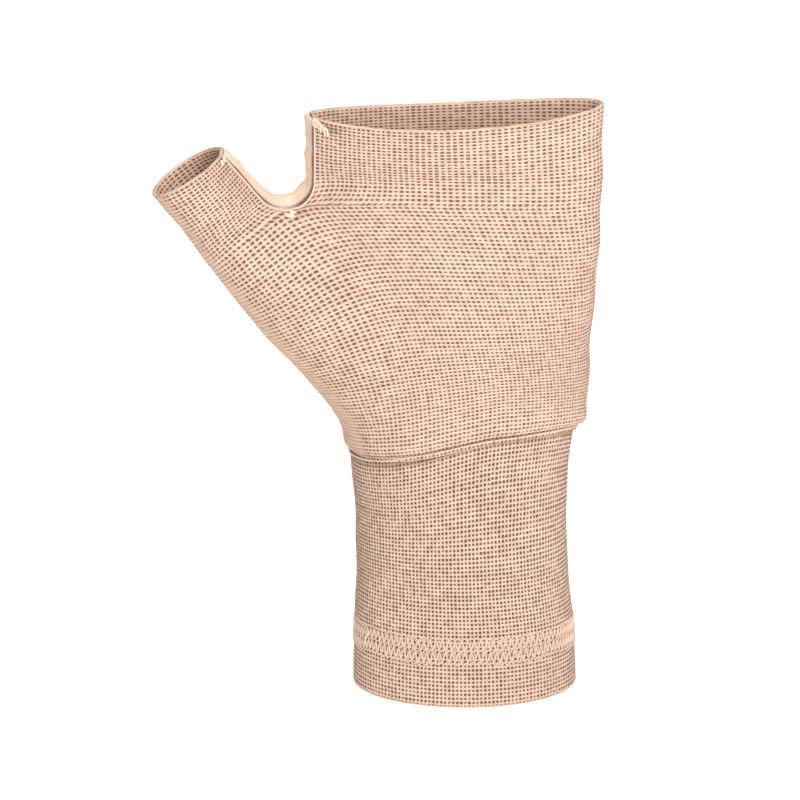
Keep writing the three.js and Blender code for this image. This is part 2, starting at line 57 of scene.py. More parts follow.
# ------------------------------------------------------------------ curves and grids
def through(places: list[float], values: list[float], at: np.ndarray) -> np.ndarray:
    """Smooth curve through given values: a cubic between neighbours, its slope at each value being
    the slope of the line that joins the values on either side of it.

    Args:
        places: where the values stand, rising.
        values: the values, or rows of coordinates.
        at: where the curve is wanted.

    Returns:
        The curve at each place, with a last axis for coordinates if the values have one.
    """
    x = np.asarray(places, dtype=float)
    y = np.asarray(values, dtype=float)
    flat = y.ndim == 1
    y = y[:, None] if flat else y
    slopes = np.empty_like(y)
    slopes[1:-1] = (y[2:] - y[:-2]) / (x[2:] - x[:-2])[:, None]
    slopes[0] = (y[1] - y[0]) / (x[1] - x[0])
    slopes[-1] = (y[-1] - y[-2]) / (x[-1] - x[-2])
    where = np.clip(np.asarray(at, dtype=float), x[0], x[-1])
    i = np.clip(np.searchsorted(x, where, side="right") - 1, 0, len(x) - 2)
    span = x[i + 1] - x[i]
    t = ((where - x[i]) / span)[..., None]
    span = span[..., None]
    out = (
        (2 * t**3 - 3 * t**2 + 1) * y[i]
        + (t**3 - 2 * t**2 + t) * span * slopes[i]
        + (3 * t**2 - 2 * t**3) * y[i + 1]
        + (t**3 - t**2) * span * slopes[i + 1]
    )
    return out[..., 0] if flat else out


def arched(x: np.ndarray, y: np.ndarray) -> np.ndarray:
    """Share by which the crease is lifted: over the heel of the hand, on the palm side only."""
    return np.clip(-y / 24.0, 0, 1) * ease(-34.0, 12.0, x)


def arc(share: np.ndarray) -> np.ndarray:
    """Height of a half circle of height 1 over a share of its width."""
    return np.sqrt(np.clip(4 * share * (1 - share), 0, None))


def ease(low: float, high: float, at: np.ndarray) -> np.ndarray:
    """Rises from 0 at low to 1 at high as 3t squared less 2t cubed."""
    t = np.clip((np.asarray(at, dtype=float) - low) / (high - low), 0.0, 1.0)
    return t * t * (3.0 - 2.0 * t)


def travelled(path: np.ndarray) -> np.ndarray:
    """Length of a path, or of each row of a grid, from its start to each of its points."""
    steps = np.linalg.norm(np.diff(path, axis=-2), axis=-1)
    return np.concatenate([np.zeros((*steps.shape[:-1], 1)), np.cumsum(steps, axis=-1)], axis=-1)


def even_rows(points: np.ndarray, count: int, slip: object = 0.0, reach: float = 0.4,
              from_end: bool = False) -> np.ndarray:
    """Respaces each row of points evenly along its own length.

    Args:
        points: rows by dense points by 3.
        count: points wanted in each row.
        slip: for each row, the share of its length by which the far points are moved towards its
            start, so that the first points stand closer.
        reach: share of the row over which they do.
        from_end: slips towards the end of the row instead.

    Returns:
        rows by count by 3.
    """
    along = travelled(points)
    along /= along[:, -1:]
    shift = 2.0 * np.arange(len(points))[:, None]
    even = np.linspace(0.0, 1.0, count)[None, :]
    amount = np.broadcast_to(np.asarray(slip, float), (len(points),))[:, None]
    if from_end:
        even = even + amount * even * ease(0.0, reach, 1 - even)
    else:
        even = even - amount * (1 - even) * ease(0.0, reach, even)
    wanted = (even + shift).ravel()
    known = (along + shift).ravel()
    flat = points.reshape(-1, 3)
    out = np.stack([np.interp(wanted, known, flat[:, k]) for k in range(3)], axis=1)
    return out.reshape(len(points), count, 3)


def grid_normals(points: np.ndarray, closed: bool) -> np.ndarray:
    """Unit normals of a grid, from the cross product of its two directions.

    Args:
        points: rows by columns by 3.
        closed: whether the last column repeats the first.

    Returns:
        rows by columns by 3.
    """
    up = np.gradient(points, axis=0)
    if closed:
        wrapped = np.concatenate([points[:, -2:-1], points, points[:, 1:2]], axis=1)
        across = (wrapped[:, 2:] - wrapped[:, :-2]) / 2
    else:
        across = np.gradient(points, axis=1)
    normal = np.cross(across, up)
    return normal / np.maximum(np.linalg.norm(normal, axis=2, keepdims=True), 1e-9)


def quads(table: np.ndarray, outward: bool) -> np.ndarray:
    """Four corners of every quad of a table of rows by columns; outward False turns them round."""
    ring = [table[:-1, :-1], table[:-1, 1:], table[1:, 1:], table[1:, :-1]]
    return np.stack(ring if outward else ring[::-1], axis=2).reshape(-1, 4, *table.shape[2:])


def counted(rows: int, columns: int, course_steps: int, wale_steps: int, first: int = 0) -> np.ndarray:
    """Knit map of a grid.

    Args:
        rows: points along the tube.
        columns: points across it.
        course_steps: points to a course.
        wale_steps: points to a wale.
        first: wale number of the first column.

    Returns:
        rows by columns by 2, as wale and course.
    """
    wales = first + np.arange(columns) / wale_steps
    return np.stack(np.meshgrid(wales, np.arange(rows) / course_steps), axis=2)


# ------------------------------------------------------------------ building meshes
class MeshBuild:
    """Gathers points and faces, with a knit map and a bake map, and turns them into one piece."""

    def __init__(self, name: str) -> None:
        """Starts an empty piece with this name."""
        self.name = name
        self.points: list[np.ndarray] = []
        self.pressed: list[np.ndarray] = []
        self.dark_tone_and_painted_shade: list[np.ndarray] = []
        self.count = 0
        self.faces: list[tuple[np.ndarray, np.ndarray, np.ndarray]] = []

    def add_points(self, points: np.ndarray, pressed: object = 0.0, dark_tone_and_painted_shade: object = 0.0) -> int:
        """Adds points in millimetres and returns the first index. Each is pressed flat, and takes painted
        shade in a fold or seam, by 0 to 1."""
        first = self.count
        flat = np.asarray(points, dtype=float).reshape(-1, 3)
        self.points.append(flat)
        for kept, values in ((self.pressed, pressed), (self.dark_tone_and_painted_shade, dark_tone_and_painted_shade)):
            kept.append(np.broadcast_to(np.asarray(values, float).ravel(), (len(flat),)))
        self.count += len(flat)
        return first

    def add_faces(self, corners: np.ndarray, knit: np.ndarray, bake: np.ndarray) -> None:
        """Adds faces.

        Args:
            corners: faces by corners, as point indices.
            knit: faces by corners by 2, counted in wales and courses.
            bake: faces by corners by 2, in the piece's own 0 to 1 layout.
        """
        self.faces.append((corners, knit, bake))

    def add_grid(self, points: np.ndarray, knit: np.ndarray, place: tuple, outward: bool,
                 closed: bool = False, looped: bool = False, pressed: object = None,
                 dark_tone_and_painted_shade: object = None) -> np.ndarray:
        """Adds a grid of quads.

        Args:
            points: rows by columns by 3.
            knit: rows by columns by 2.
            place: (low u, low v, width, height) of the grid in the bake layout.
            outward: False turns the faces round.
            closed: whether the last column repeats the first, round a tube.
            looped: whether the last row repeats the first, round a ring.
            pressed: rows by columns, how flat the knit lies, or None.
            dark_tone_and_painted_shade: rows by columns, painted shade of a fold or seam, or None.

        Returns:
            rows by columns of point indices.
        """
        rows, columns = points.shape[:2]
        kept = (slice(rows - looped), slice(columns - closed))
        marks = (0.0 if values is None else values[kept] for values in (pressed, dark_tone_and_painted_shade))
        first = self.add_points(points[kept], *marks)
        index = first + np.arange((rows - looped) * (columns - closed)).reshape(rows - looped, -1)
        index = np.pad(index, ((0, int(looped)), (0, int(closed))), mode="wrap")
        u = place[0] + place[2] * np.linspace(0, 1, columns)
        v = place[1] + place[3] * np.linspace(0, 1, rows)
        bake = np.stack(np.meshgrid(u, v), axis=2)
        self.add_faces(*(quads(table, outward) for table in (index, knit, bake)))
        return index

    def add_spot(self, corners: np.ndarray) -> None:
        """Adds narrow faces, which share one small corner of the bake layout."""
        shape = (*corners.shape, 2)
        turn = np.linspace(0, 2 * np.pi, corners.shape[1], endpoint=False)
        spot = 0.992 + 0.004 * np.stack([np.cos(turn), np.sin(turn)], axis=1)
        self.add_faces(corners, np.zeros(shape), np.broadcast_to(spot, shape))

    def bridge(self, outer: np.ndarray, inner: np.ndarray, flip: bool) -> None:
        """Joins an edge of many points to an edge of few, a whole number of times fewer.

        Args:
            outer: indices along the finer edge.
            inner: indices along the coarser edge.
            flip: turns the faces round.
        """
        count = len(inner) - 1
        ratio = (len(outer) - 1) // count
        starts = np.arange(count)[:, None] * ratio + np.arange(ratio + 1)[None, :]
        corners = np.concatenate([outer[starts], inner[1:, None], inner[:-1, None]], axis=1)
        self.add_spot(corners[:, ::-1] if flip else corners)

    def seal(self, over: np.ndarray, under: np.ndarray, sides: bool) -> None:
        """Joins an outer and an inner grid along their first and last rows, and their sides too."""
        self.bridge(over[0], under[0], True)
        self.bridge(over[-1], under[-1], False)
        if sides:
            self.bridge(over[:, 0], under[:, 0], False)
            self.bridge(over[:, -1], under[:, -1], True)

    def finish(self, material: bpy.types.Material, node: str) -> bpy.types.Object:
        """Makes the mesh object and hands it to the frame.

        Args:
            material: its finish.
            node: the frame's piece that it stands for.

        Returns:
            The new object.
        """
        mesh = bpy.data.meshes.new(self.name)
        points = np.concatenate(self.points) * MM
        mesh.vertices.add(len(points))
        mesh.vertices.foreach_set("co", points.ravel())
        totals = np.concatenate([np.full(len(c), c.shape[1]) for c, _, _ in self.faces])
        corners = np.concatenate([c.ravel() for c, _, _ in self.faces])
        mesh.loops.add(len(corners))
        mesh.loops.foreach_set("vertex_index", corners)
        mesh.polygons.add(len(totals))
        starts = np.concatenate([[0], np.cumsum(totals)[:-1]])
        mesh.polygons.foreach_set("loop_start", starts)
        mesh.polygons.foreach_set("use_smooth", np.ones(len(totals), dtype=bool))
        for title, place in (("OFBake", 2), ("Knit", 1)):
            layer = mesh.uv_layers.new(name=title)
            flat = np.concatenate([np.asarray(f[place], float).reshape(-1, 2) for f in self.faces])
            layer.data.foreach_set("uv", flat.ravel())
        # Deep is painted shade: how far a finish darkens each point, as if it were shaded in a fold or seam.
        for title, values in (("Pressed", self.pressed), ("Deep", self.dark_tone_and_painted_shade)):
            layer = mesh.attributes.new(title, "FLOAT", "POINT")
            layer.data.foreach_set("value", np.concatenate(values))
        mesh.update(calc_edges=True)
        mesh.validate()
        mesh.materials.append(material)
        piece = bpy.data.objects.new(self.name, mesh)
        bpy.context.scene.collection.objects.link(piece)
        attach(piece, "root")
        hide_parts(node)
        log.info("%s: %d points, %d faces", self.name, len(points), len(totals))
        return piece


def sweep(path: np.ndarray, radius: np.ndarray, sides: int, closed: bool) -> np.ndarray:
    """Round tube along a path: at each point a circle of the given radius, square to the path.

    Args:
        path: points by 3.
        radius: one radius, or one for each point.
        sides: corners of the circle.
        closed: whether the path joins up.

    Returns:
        points by sides + 1 by 3, the last column repeating the first.
    """
    if closed:
        ahead = np.roll(path, -1, axis=0) - np.roll(path, 1, axis=0)
    else:
        ahead = np.gradient(path, axis=0)
    ahead /= np.maximum(np.linalg.norm(ahead, axis=1, keepdims=True), 1e-9)
    middle = path.mean(axis=0)
    out = path - middle
    out -= (out * ahead).sum(axis=1, keepdims=True) * ahead
    out /= np.maximum(np.linalg.norm(out, axis=1, keepdims=True), 1e-9)
    side = np.cross(out, ahead)
    turn = np.linspace(0, 2 * np.pi, sides + 1)
    r = np.broadcast_to(np.asarray(radius, float), (len(path),))[:, None, None]
    ring = np.cos(turn)[None, :, None] * out[:, None] + np.sin(turn)[None, :, None] * side[:, None]
    return path[:, None] + r * ring


# ------------------------------------------------------------------ finishes
class Nodes:
    """Short hand for laying out a material's nodes."""

    def __init__(self, name: str) -> None:
        """Starts an empty material with a Principled shader."""
        self.material = bpy.data.materials.new(name)
        self.material.use_nodes = True
        self.tree = self.material.node_tree
        self.tree.nodes.clear()
        self.out = self.tree.nodes.new("ShaderNodeOutputMaterial")
        self.shader = self.tree.nodes.new("ShaderNodeBsdfPrincipled")
        self.tree.links.new(self.shader.outputs["BSDF"], self.out.inputs["Surface"])

    def put(self, socket: object, value: object) -> None:
        """Links an output to a socket, or sets the socket to a value."""
        if isinstance(value, bpy.types.NodeSocket):
            self.tree.links.new(value, socket)
        else:
            socket.default_value = value

    def math(self, how: str, a: object, b: object = 0.0, clamp: bool = False) -> object:
        """One Math node's output."""
        node = self.tree.nodes.new("ShaderNodeMath")
        node.operation = how
        node.use_clamp = clamp
        self.put(node.inputs[0], a)
        self.put(node.inputs[1], b)
        return node.outputs[0]

    def knit_map(self) -> tuple:
        """Wale and course counts of the surface."""
        uv = self.tree.nodes.new("ShaderNodeUVMap")
        uv.uv_map = "Knit"
        parts = self.tree.nodes.new("ShaderNodeSeparateXYZ")
        self.tree.links.new(uv.outputs["UV"], parts.inputs[0])
        return parts.outputs["X"], parts.outputs["Y"]

    def stored(self, title: str) -> object:
        """A number stored at each point of the piece, 0 to 1."""
        node = self.tree.nodes.new("ShaderNodeAttribute")
        node.attribute_name = title
        return node.outputs["Fac"]

    def vector(self, x: object, y: object, z: object = 0.0) -> object:
        """Vector from three numbers."""
        node = self.tree.nodes.new("ShaderNodeCombineXYZ")
        for socket, value in zip(node.inputs, (x, y, z)):
            self.put(socket, value)
        return node.outputs[0]

    def place(self) -> object:
        """Object coordinates, in metres."""
        return self.tree.nodes.new("ShaderNodeTexCoord").outputs["Object"]

    def noise(self, where: object, scale: float, detail: float = 2.0) -> object:
        """Cloudy noise from 0 to 1."""
        node = self.tree.nodes.new("ShaderNodeTexNoise")
        self.put(node.inputs["Vector"], where)
        node.inputs["Scale"].default_value = scale
        node.inputs["Detail"].default_value = detail
        return node.outputs["Fac"]

    def speckle(self, where: object) -> object:
        """A random number for each whole cell of a vector."""
        floor = self.tree.nodes.new("ShaderNodeVectorMath")
        floor.operation = "FLOOR"
        self.put(floor.inputs[0], where)
        node = self.tree.nodes.new("ShaderNodeTexWhiteNoise")
        self.tree.links.new(floor.outputs[0], node.inputs["Vector"])
        return node.outputs["Value"]

    def ramp(self, value: object, low: object, high: object, out: tuple = (0.0, 1.0)) -> object:
        """Value carried smoothly from low..high to out."""
        node = self.tree.nodes.new("ShaderNodeMapRange")
        node.interpolation_type = "SMOOTHSTEP"
        self.put(node.inputs["Value"], value)
        self.put(node.inputs["From Min"], low)
        self.put(node.inputs["From Max"], high)
        node.inputs["To Min"].default_value = out[0]
        node.inputs["To Max"].default_value = out[1]
        return node.outputs["Result"]

    def mix(self, share: object, a: object, b: object) -> object:
        """Colour between a and b."""
        node = self.tree.nodes.new("ShaderNodeMix")
        node.data_type = "RGBA"
        self.put(node.inputs[0], share)
        self.put(node.inputs[6], a if isinstance(a, bpy.types.NodeSocket) else (*a, 1.0))
        self.put(node.inputs[7], b if isinstance(b, bpy.types.NodeSocket) else (*b, 1.0))
        return node.outputs[2]

    def bump(self, height: object, distance: float, strength: float = 1.0) -> None:
        """Bump from a height, in metres."""
        node = self.tree.nodes.new("ShaderNodeBump")
        node.inputs["Strength"].default_value = strength
        node.inputs["Distance"].default_value = distance
        self.put(node.inputs["Height"], height)
        self.tree.links.new(node.outputs[0], self.shader.inputs["Normal"])

    def surface(self, colour: object, roughness: object, sheen: float, specular: float) -> None:
        """Sets the shader's colour, roughness, sheen and specular level."""
        self.put(self.shader.inputs["Base Color"], colour)
        self.put(self.shader.inputs["Roughness"], roughness)
        self.shader.inputs["Sheen Weight"].default_value = sheen
        self.shader.inputs["Sheen Roughness"].default_value = 0.5
        self.shader.inputs["Specular IOR Level"].default_value = specular


@dataclass(frozen=True)
class KnitFinish:
    """Open square-mesh knit: light yarn round pits painted dark as shade, one to each wale and course."""

    name: str
    yarn: tuple
    yarn_deep: tuple
    pit_width: float  # share of a wale that a pit takes
    pit_height: float  # share of a course that it takes
    groove: float  # how much painted shade darkens the furrow between two courses
    depth: float  # how dark a pit is painted, as shade inside it
    # colour of painted shade: in the pits, where the dark inside shows through the open knit, in the furrows
    # and in folds
    pit: tuple = (0.115, 0.050, 0.026)
    smooth_fold: float = 0.0  # how far the pits vanish where the knit is pressed quite flat

    def build(self) -> bpy.types.Material:
        """Lays out the material.

        Returns:
            Yarn colour varied by course, by stitch and in soft patches, with pits painted dark as shade
            where the sine humps of wale and course meet, painted shade in furrows and folds, and a fibre
            bump.
        """
        n = Nodes(self.name)
        wale, course = n.knit_map()
        hump_u = n.math("ABSOLUTE", n.math("SINE", n.math("MULTIPLY", wale, np.pi)))
        hump_v = n.math("ABSOLUTE", n.math("SINE", n.math("MULTIPLY", course, np.pi)))
        cell = n.speckle(n.vector(wale, course))
        vary = n.math("MULTIPLY", n.math("SUBTRACT", cell, 0.5), 0.22)
        flat = n.stored("Pressed")
        wide, tall = (float(np.cos(np.pi * share / 2)) for share in (self.pit_width, self.pit_height))
        across = n.ramp(n.math("ADD", hump_u, vary), wide - 0.20, wide + 0.20)
        across = n.math("MAXIMUM", across, n.math("MULTIPLY", flat, 0.6))
        along = n.ramp(n.math("ADD", hump_v, vary), tall - 0.16, tall + 0.16)
        hole = n.math("MULTIPLY", across, along)
        hole = n.math("MULTIPLY", hole, n.ramp(flat, 0.35, 0.85, (1.0, 1.0 - self.smooth_fold)))
        furrow = n.math("MULTIPLY", n.ramp(hump_v, 0.55, 1.0), self.groove)
        streak = n.noise(n.vector(n.math("MULTIPLY", wale, 0.035), course), 0.9, 3.0)
        patch = n.noise(n.place(), 55.0, 3.0)
        tone = n.ramp(n.math("ADD", n.math("MULTIPLY", streak, 0.6), n.math("MULTIPLY", patch, 0.4)),
                      0.30, 0.72)
        stitch = n.math("MULTIPLY", cell, 0.35)
        tone = n.math("ADD", n.math("MULTIPLY", tone, 0.65), stitch, clamp=True)
        colour = n.mix(tone, self.yarn, self.yarn_deep)
        # Painted shade: the furrows, the pits and the Deep attribute each darken the yarn towards the pit
        # colour.
        colour = n.mix(furrow, colour, self.pit)
        colour = n.mix(n.math("MULTIPLY", hole, self.depth), colour, self.pit)
        colour = n.mix(n.stored("Deep"), colour, self.pit)
        fibre = n.noise(n.place(), 5200.0, 2.0)
        twist = n.math("SINE", n.math("MULTIPLY", n.math("ADD", wale, n.math("MULTIPLY", course, 0.35)),
                                      6.0 * np.pi))
        height = n.math("ADD", n.math("MULTIPLY", fibre, 0.6), n.math("MULTIPLY", twist, 0.12))
        height = n.math("SUBTRACT", height, n.math("MULTIPLY", hole, 1.2))
        n.bump(height, 0.00018)
        n.surface(colour, n.ramp(fibre, 0.2, 0.8, (0.80, 0.95)), 0.10, 0.22)
        return n.material


@dataclass(frozen=True)
class TapeFinish:
    """Smooth close-knit tape with fine lengthwise ribs."""

    name: str
    light: tuple
    dark_tone_and_painted_shade: tuple
    fold: tuple = (0.07, 0.035, 0.022)  # painted shadow colour, in the fold beside the palm layer
    ribs: float = 9.0

    def build(self) -> bpy.types.Material:
        """Lays out the material: fine ribs across the knit map's u, soft patches, painted shadow and a fibre
        bump.
        """
        n = Nodes(self.name)
        across, along = n.knit_map()
        rib = n.math("SINE", n.math("MULTIPLY", across, self.ribs * 2 * np.pi))
        weave = n.math("SINE", n.math("MULTIPLY", along, 2 * np.pi))
        patch = n.noise(n.place(), 160.0, 4.0)
        fibre = n.noise(n.place(), 4200.0, 2.0)
        tone = n.ramp(n.math("ADD", patch, n.math("MULTIPLY", rib, 0.05)), 0.30, 0.70)
        colour = n.mix(tone, self.light, self.dark_tone_and_painted_shade)
        # Painted shadow, where the Deep attribute is set.
        colour = n.mix(n.stored("Deep"), colour, self.fold)
        height = n.math("ADD", n.math("MULTIPLY", rib, 0.25), n.math("MULTIPLY", weave, 0.15))
        n.bump(n.math("ADD", height, n.math("MULTIPLY", fibre, 0.5)), 0.00010)
        n.surface(colour, n.ramp(fibre, 0.2, 0.8, (0.62, 0.80)), 0.12, 0.3)
        return n.material


@dataclass(frozen=True)
class ThreadFinish:
    """Plied sewing thread."""

    name: str
    light: tuple = (0.92, 0.70, 0.55)
    dark_tone_and_painted_shade: tuple = (0.68, 0.47, 0.35)

    def build(self) -> bpy.types.Material:
        """Lays out the material: two plies wound round the thread, and a little fuzz."""
        n = Nodes(self.name)
        around, along = n.knit_map()
        ply = n.math("SINE", n.math("MULTIPLY", n.math("ADD", around, n.math("MULTIPLY", along, 2.0)),
                                    4 * np.pi))
        fibre = n.noise(n.place(), 6000.0, 2.0)
        tone = n.ramp(n.math("ADD", n.math("MULTIPLY", ply, 0.35), fibre), 0.1, 0.9)
        n.bump(n.math("ADD", n.math("MULTIPLY", ply, -0.5), n.math("MULTIPLY", fibre, 0.4)), 0.00008)
        n.surface(n.mix(tone, self.light, self.dark_tone_and_painted_shade), n.ramp(fibre, 0.2, 0.8, (0.5, 0.7)), 0.1, 0.35)
        return n.material


# ------------------------------------------------------------------ the knit's relief
@dataclass(frozen=True)
class Relief:
    """Depth of the knit's pits and furrows, and how finely a stitch is drawn."""

    depth: float = 0.48
    furrow: float = 0.32  # share of the depth that a whole furrow between courses has
    wale_steps: int = 4
    course_steps: int = 4

    def heights(self, courses: int, wales: int, pressed: np.ndarray,
                rng: np.random.Generator) -> np.ndarray:
        """Height of every grid point: nothing on the yarns, down by the product of two sine humps
        in the pits, each stitch a little deeper or shallower than the next.

        Args:
            courses: stitches along the tube.
            wales: stitches across the grid.
            pressed: how flat the knit lies at each grid point, which joins pits into furrows.
            rng: the piece's random source.

        Returns:
            (courses * course_steps + 1) by (wales * wale_steps + 1) heights in millimetres.
        """
        a = np.abs(np.sin(np.pi * np.arange(wales * self.wale_steps + 1) / self.wale_steps))
        b = np.abs(np.sin(np.pi * np.arange(courses * self.course_steps + 1) / self.course_steps))
        vary = 1.0 + 0.22 * rng.standard_normal((courses + 1, wales + 1))
        rows = np.minimum(np.arange(len(b)) // self.course_steps, courses)
        columns = np.minimum(np.arange(len(a)) // self.wale_steps, wales)
        furrow = self.furrow + (0.8 - self.furrow) * pressed
        pit = (b**1.3)[:, None] * (furrow + (1 - furrow) * (a**1.3)[None, :])
        return -self.depth * (1 - 0.45 * pressed) * pit * vary[rows][:, columns]


class Face(Enum):
    """Side of the hand that a surface lies on."""

    PALM = -1
    BACK = 1


class Lane(Enum):
    """Which branch of the sleeve a strip of knit runs up."""

    THUMB = "thumb"
    HAND = "hand"


@dataclass
class SleeveForm:
    """Filled-out shape of the hand and thumb sleeve, in millimetres.

    A course runs across the front view from the thumb side to the little finger side. Its ends are
    on the two outlines, and above the start of the cut it stops on either side of it. Half its
    thickness is the cube root of the sum of cubes of two ellipses: one over the whole course, which
    fades out at the cut, and one over the thumb's or the hand's own span.
    """

    wall: float = 1.1
    left: list = field(default_factory=lambda: [
        (-34.1, 70.8), (-35.5, 76.6), (-37.9, 82.5), (-45.0, 92.0), (-57.7, 106.6), (-68.9, 120.8),
        (-78.7, 134.8), (-90.0, 149.5)])
    right: list = field(default_factory=lambda: [
        (33.2, 77.6), (34.5, 80.6), (35.5, 86.0), (36.2, 106.0), (37.9, 128.0), (39.0, 150.0),
        (39.2, 176.0)])
    knuckle: tuple = (-44.96, 172.43)  # corner of the knuckle opening at the cut
    thumb_corner: tuple = (-69.56, 161.96)
    web_radius: float = 7.8
    web_depth: float = 25.9
    hand_setback: float = 1.6  # the palm layer's edge lies this far back from the cut by the hand
    thumb_setback: float = 0.3  # and by the thumb
    sag: float = 2.2  # the knuckle rim hangs this much between its ends
    rim_height: float = 174.2  # middle of the knuckle opening
    knuckle_tilt: float = 2.4  # how the openings slope, in degrees
    thumb_tilt: float = 31.4
    hand_slope: float = 21.0  # of the courses where they leave the cut's bottom, in degrees
    thumb_slope: float = 24.0
    dividing: float = 0.245  # share of the crease's width that goes to the thumb
    swerve: tuple = (9.0, 3.5)  # the line where thumb and hand part bows this much
    valley: float = 10.0  # below the cut, the dip between thumb and hand is this wide to each side
    arch: float = 6.8  # the crease rises this much over the heel of the hand
    lean: float = -2.5

    def __post_init__(self) -> None:
        """Works out the cut: two straight sides, each a tangent to its round bottom."""
        self.left_places = self.shares(self.left)
        self.right_places = self.shares(self.right)
        corner = np.array(self.knuckle)
        tip = np.array(self.thumb_corner)
        self.web_centre = corner + (-self.web_radius, self.web_radius - self.web_depth)
        self.hand_turn = self.tangent(corner, -1)
        self.thumb_turn = self.tangent(tip, 1) - 2 * np.pi
        self.hand_side = np.linalg.norm(corner - self.round_point(self.hand_turn))
        self.thumb_side = np.linalg.norm(tip - self.round_point(self.thumb_turn))
        self.round = self.web_radius * (self.hand_turn - self.thumb_turn)
        self.web_length = self.hand_side + self.round + self.thumb_side
        touch = self.hand_turn + np.pi / 2 - np.radians(self.hand_slope)
        self.bottom_at = (self.hand_side + self.web_radius * touch) / self.web_length
        self.climbs = [self.climb(0.0, self.hand_slope), self.climb(1.0, self.thumb_slope)]
        bottom = self.web_centre[1] - self.web_radius
        rise = np.array(self.right)[-1, 1] - np.array(self.right)[0, 1]
        self.start = 1.0 - (self.rim_height - bottom) / rise

    @staticmethod
    def shares(outline: list) -> np.ndarray:
        """Share of the outline's length at each of its points."""
        along = travelled(np.array(outline))
        return along / along[-1]

    def tangent(self, tip: np.ndarray, side: int) -> float:
        """Angle at which a line from tip touches the round bottom of the cut."""
        away = tip - self.web_centre
        reach = np.linalg.norm(away)
        return float(np.arctan2(away[1], away[0]) + side * np.arccos(min(self.web_radius / reach, 1.0)))

    def round_point(self, turn: np.ndarray) -> np.ndarray:
        """Point of the round bottom at an angle."""
        direction = np.stack([np.cos(turn), np.sin(turn)], axis=-1)
        return self.web_centre + self.web_radius * direction

    def web_turn(self, share: np.ndarray) -> tuple:
        """Length along the cut at a share of it, and the angle round its bottom reached there."""
        s = np.clip(np.asarray(share, float), 0, 1) * self.web_length
        gone = np.clip((s - self.hand_side) / self.web_radius, 0, self.hand_turn - self.thumb_turn)
        return s, self.hand_turn - gone

    def web_point(self, share: np.ndarray, out: np.ndarray) -> np.ndarray:
        """Point of the cut, from the knuckle corner (0) round to the thumb corner (1).

        Args:
            share: share of the cut's length.
            out: distance from it into the cut.

        Returns:
            x and z.
        """
        s, turn = self.web_turn(share)
        onto = self.round_point(turn)
        normal = -np.stack([np.cos(turn), np.sin(turn)], axis=-1)
        tangent = np.stack([np.sin(turn), -np.cos(turn)], axis=-1)
        before = np.minimum(s - self.hand_side, 0.0)
        after = np.maximum(s - self.hand_side - self.round, 0.0)
        return onto + (before + after)[..., None] * tangent + np.asarray(out)[..., None] * normal

    def climb(self, stop: float, slope: float) -> tuple:
        """Shares of the cut from its bottom to a tip, and how far each has climbed across courses
        of this slope, so that courses meet the cut evenly."""
        shares = np.linspace(self.bottom_at, stop, 400)
        path = np.diff(self.web_point(shares, np.zeros(400)), axis=0)
        across = np.abs(path[:, 1] - np.tan(np.radians(slope)) * path[:, 0])
        risen = np.concatenate([[0.0], np.cumsum(across + 0.08 * np.linalg.norm(path, axis=1))])
        return shares, risen / risen[-1]

    def web_side(self, share: np.ndarray) -> tuple:
        """How far a place of the cut is its side by the hand, and its side by the thumb."""
        lean = np.cos(self.web_turn(share)[1])
        return np.clip(lean, 0, 1), np.clip(-lean, 0, 1)

    def edge_back(self, share: np.ndarray) -> np.ndarray:
        """How far the palm layer's edge lies back from the cut."""
        hand, thumb = self.web_side(share)
        return self.hand_setback * hand + self.thumb_setback * thumb

    def edge_point(self, share: np.ndarray, face: Face, inset: float) -> np.ndarray:
        """Where a layer of the sleeve ends at the cut, as x and z."""
        back = self.edge_back(share) if face is Face.PALM else 0.0 * share
        return self.web_point(share, -inset - back)

    def ends(self, f: np.ndarray, face: Face, inset: float) -> tuple:
        """Ends and end angles of the thumb's and the hand's part of each course.

        Args:
            f: share of the sleeve's length, 0 at the crease and 1 at the rims.
            face: palm side or back.
            inset: distance inwards from the outer surface.

        Returns:
            left, thumb edge, hand edge and right as x and z, then the two angles at the cut.
        """
        left = through(self.left_places, self.left, f)
        right = through(self.right_places, self.right, f)
        opened = np.clip((f - self.start) / (1 - self.start), 0, 1)
        low = np.array(self.left[0])
        dividing = low + self.dividing * (np.array(self.right[0]) - low)
        hand, thumb = (self.edge_point(np.interp(opened, risen, shares), face, inset)
                       for shares, risen in self.climbs)
        bottom = self.edge_point(np.array(self.bottom_at), face, inset)
        below = (f < self.start)[:, None]
        climb = np.clip(f / self.start, 0, 1)[:, None]
        line = dividing + (bottom - dividing) * climb + np.array(self.swerve) * np.sin(np.pi * climb)
        thumb = np.where(below, line, thumb)
        hand = np.where(below, line, hand)
        keys = [0.0, 0.25, 0.5, self.start, 0.86, 1.0]
        thumb_angle = np.radians(through(keys, [0.0, 13.0, 22.0, self.thumb_slope, 29.0, self.thumb_tilt], f))
        keys = keys[:4] + [self.start + 0.07] + keys[4:]
        slopes = [0.0, 13.0, 20.5, self.hand_slope, 15.5, 8.0, self.knuckle_tilt]
        hand_angle = np.radians(through(keys, slopes, f))
        inward = thumb - left
        left = left + inset * inward / np.linalg.norm(inward, axis=1, keepdims=True)
        inward = hand - right
        right = right + inset * inward / np.linalg.norm(inward, axis=1, keepdims=True)
        return left, thumb, hand, right, thumb_angle, hand_angle

    def depths(self, f: np.ndarray) -> tuple:
        """Half depths of the shared ellipse, the thumb's and the hand's, at each length."""
        s = self.start
        shared = through([0, 0.14, s * 0.5, s * 0.8, s * 1.08, 1], [24.4, 25.2, 21.5, 14.5, 7.2, 5.4], f)
        thumb = through([0, 0.14, s * 0.5, s, 1], [0.0, 6.0, 12.6, 14.6, 14.0], f)
        hand = through([0, 0.14, s * 0.5, s, 1], [0.0, 8.0, 15.2, 17.0, 15.3], f)
        return shared, thumb, hand

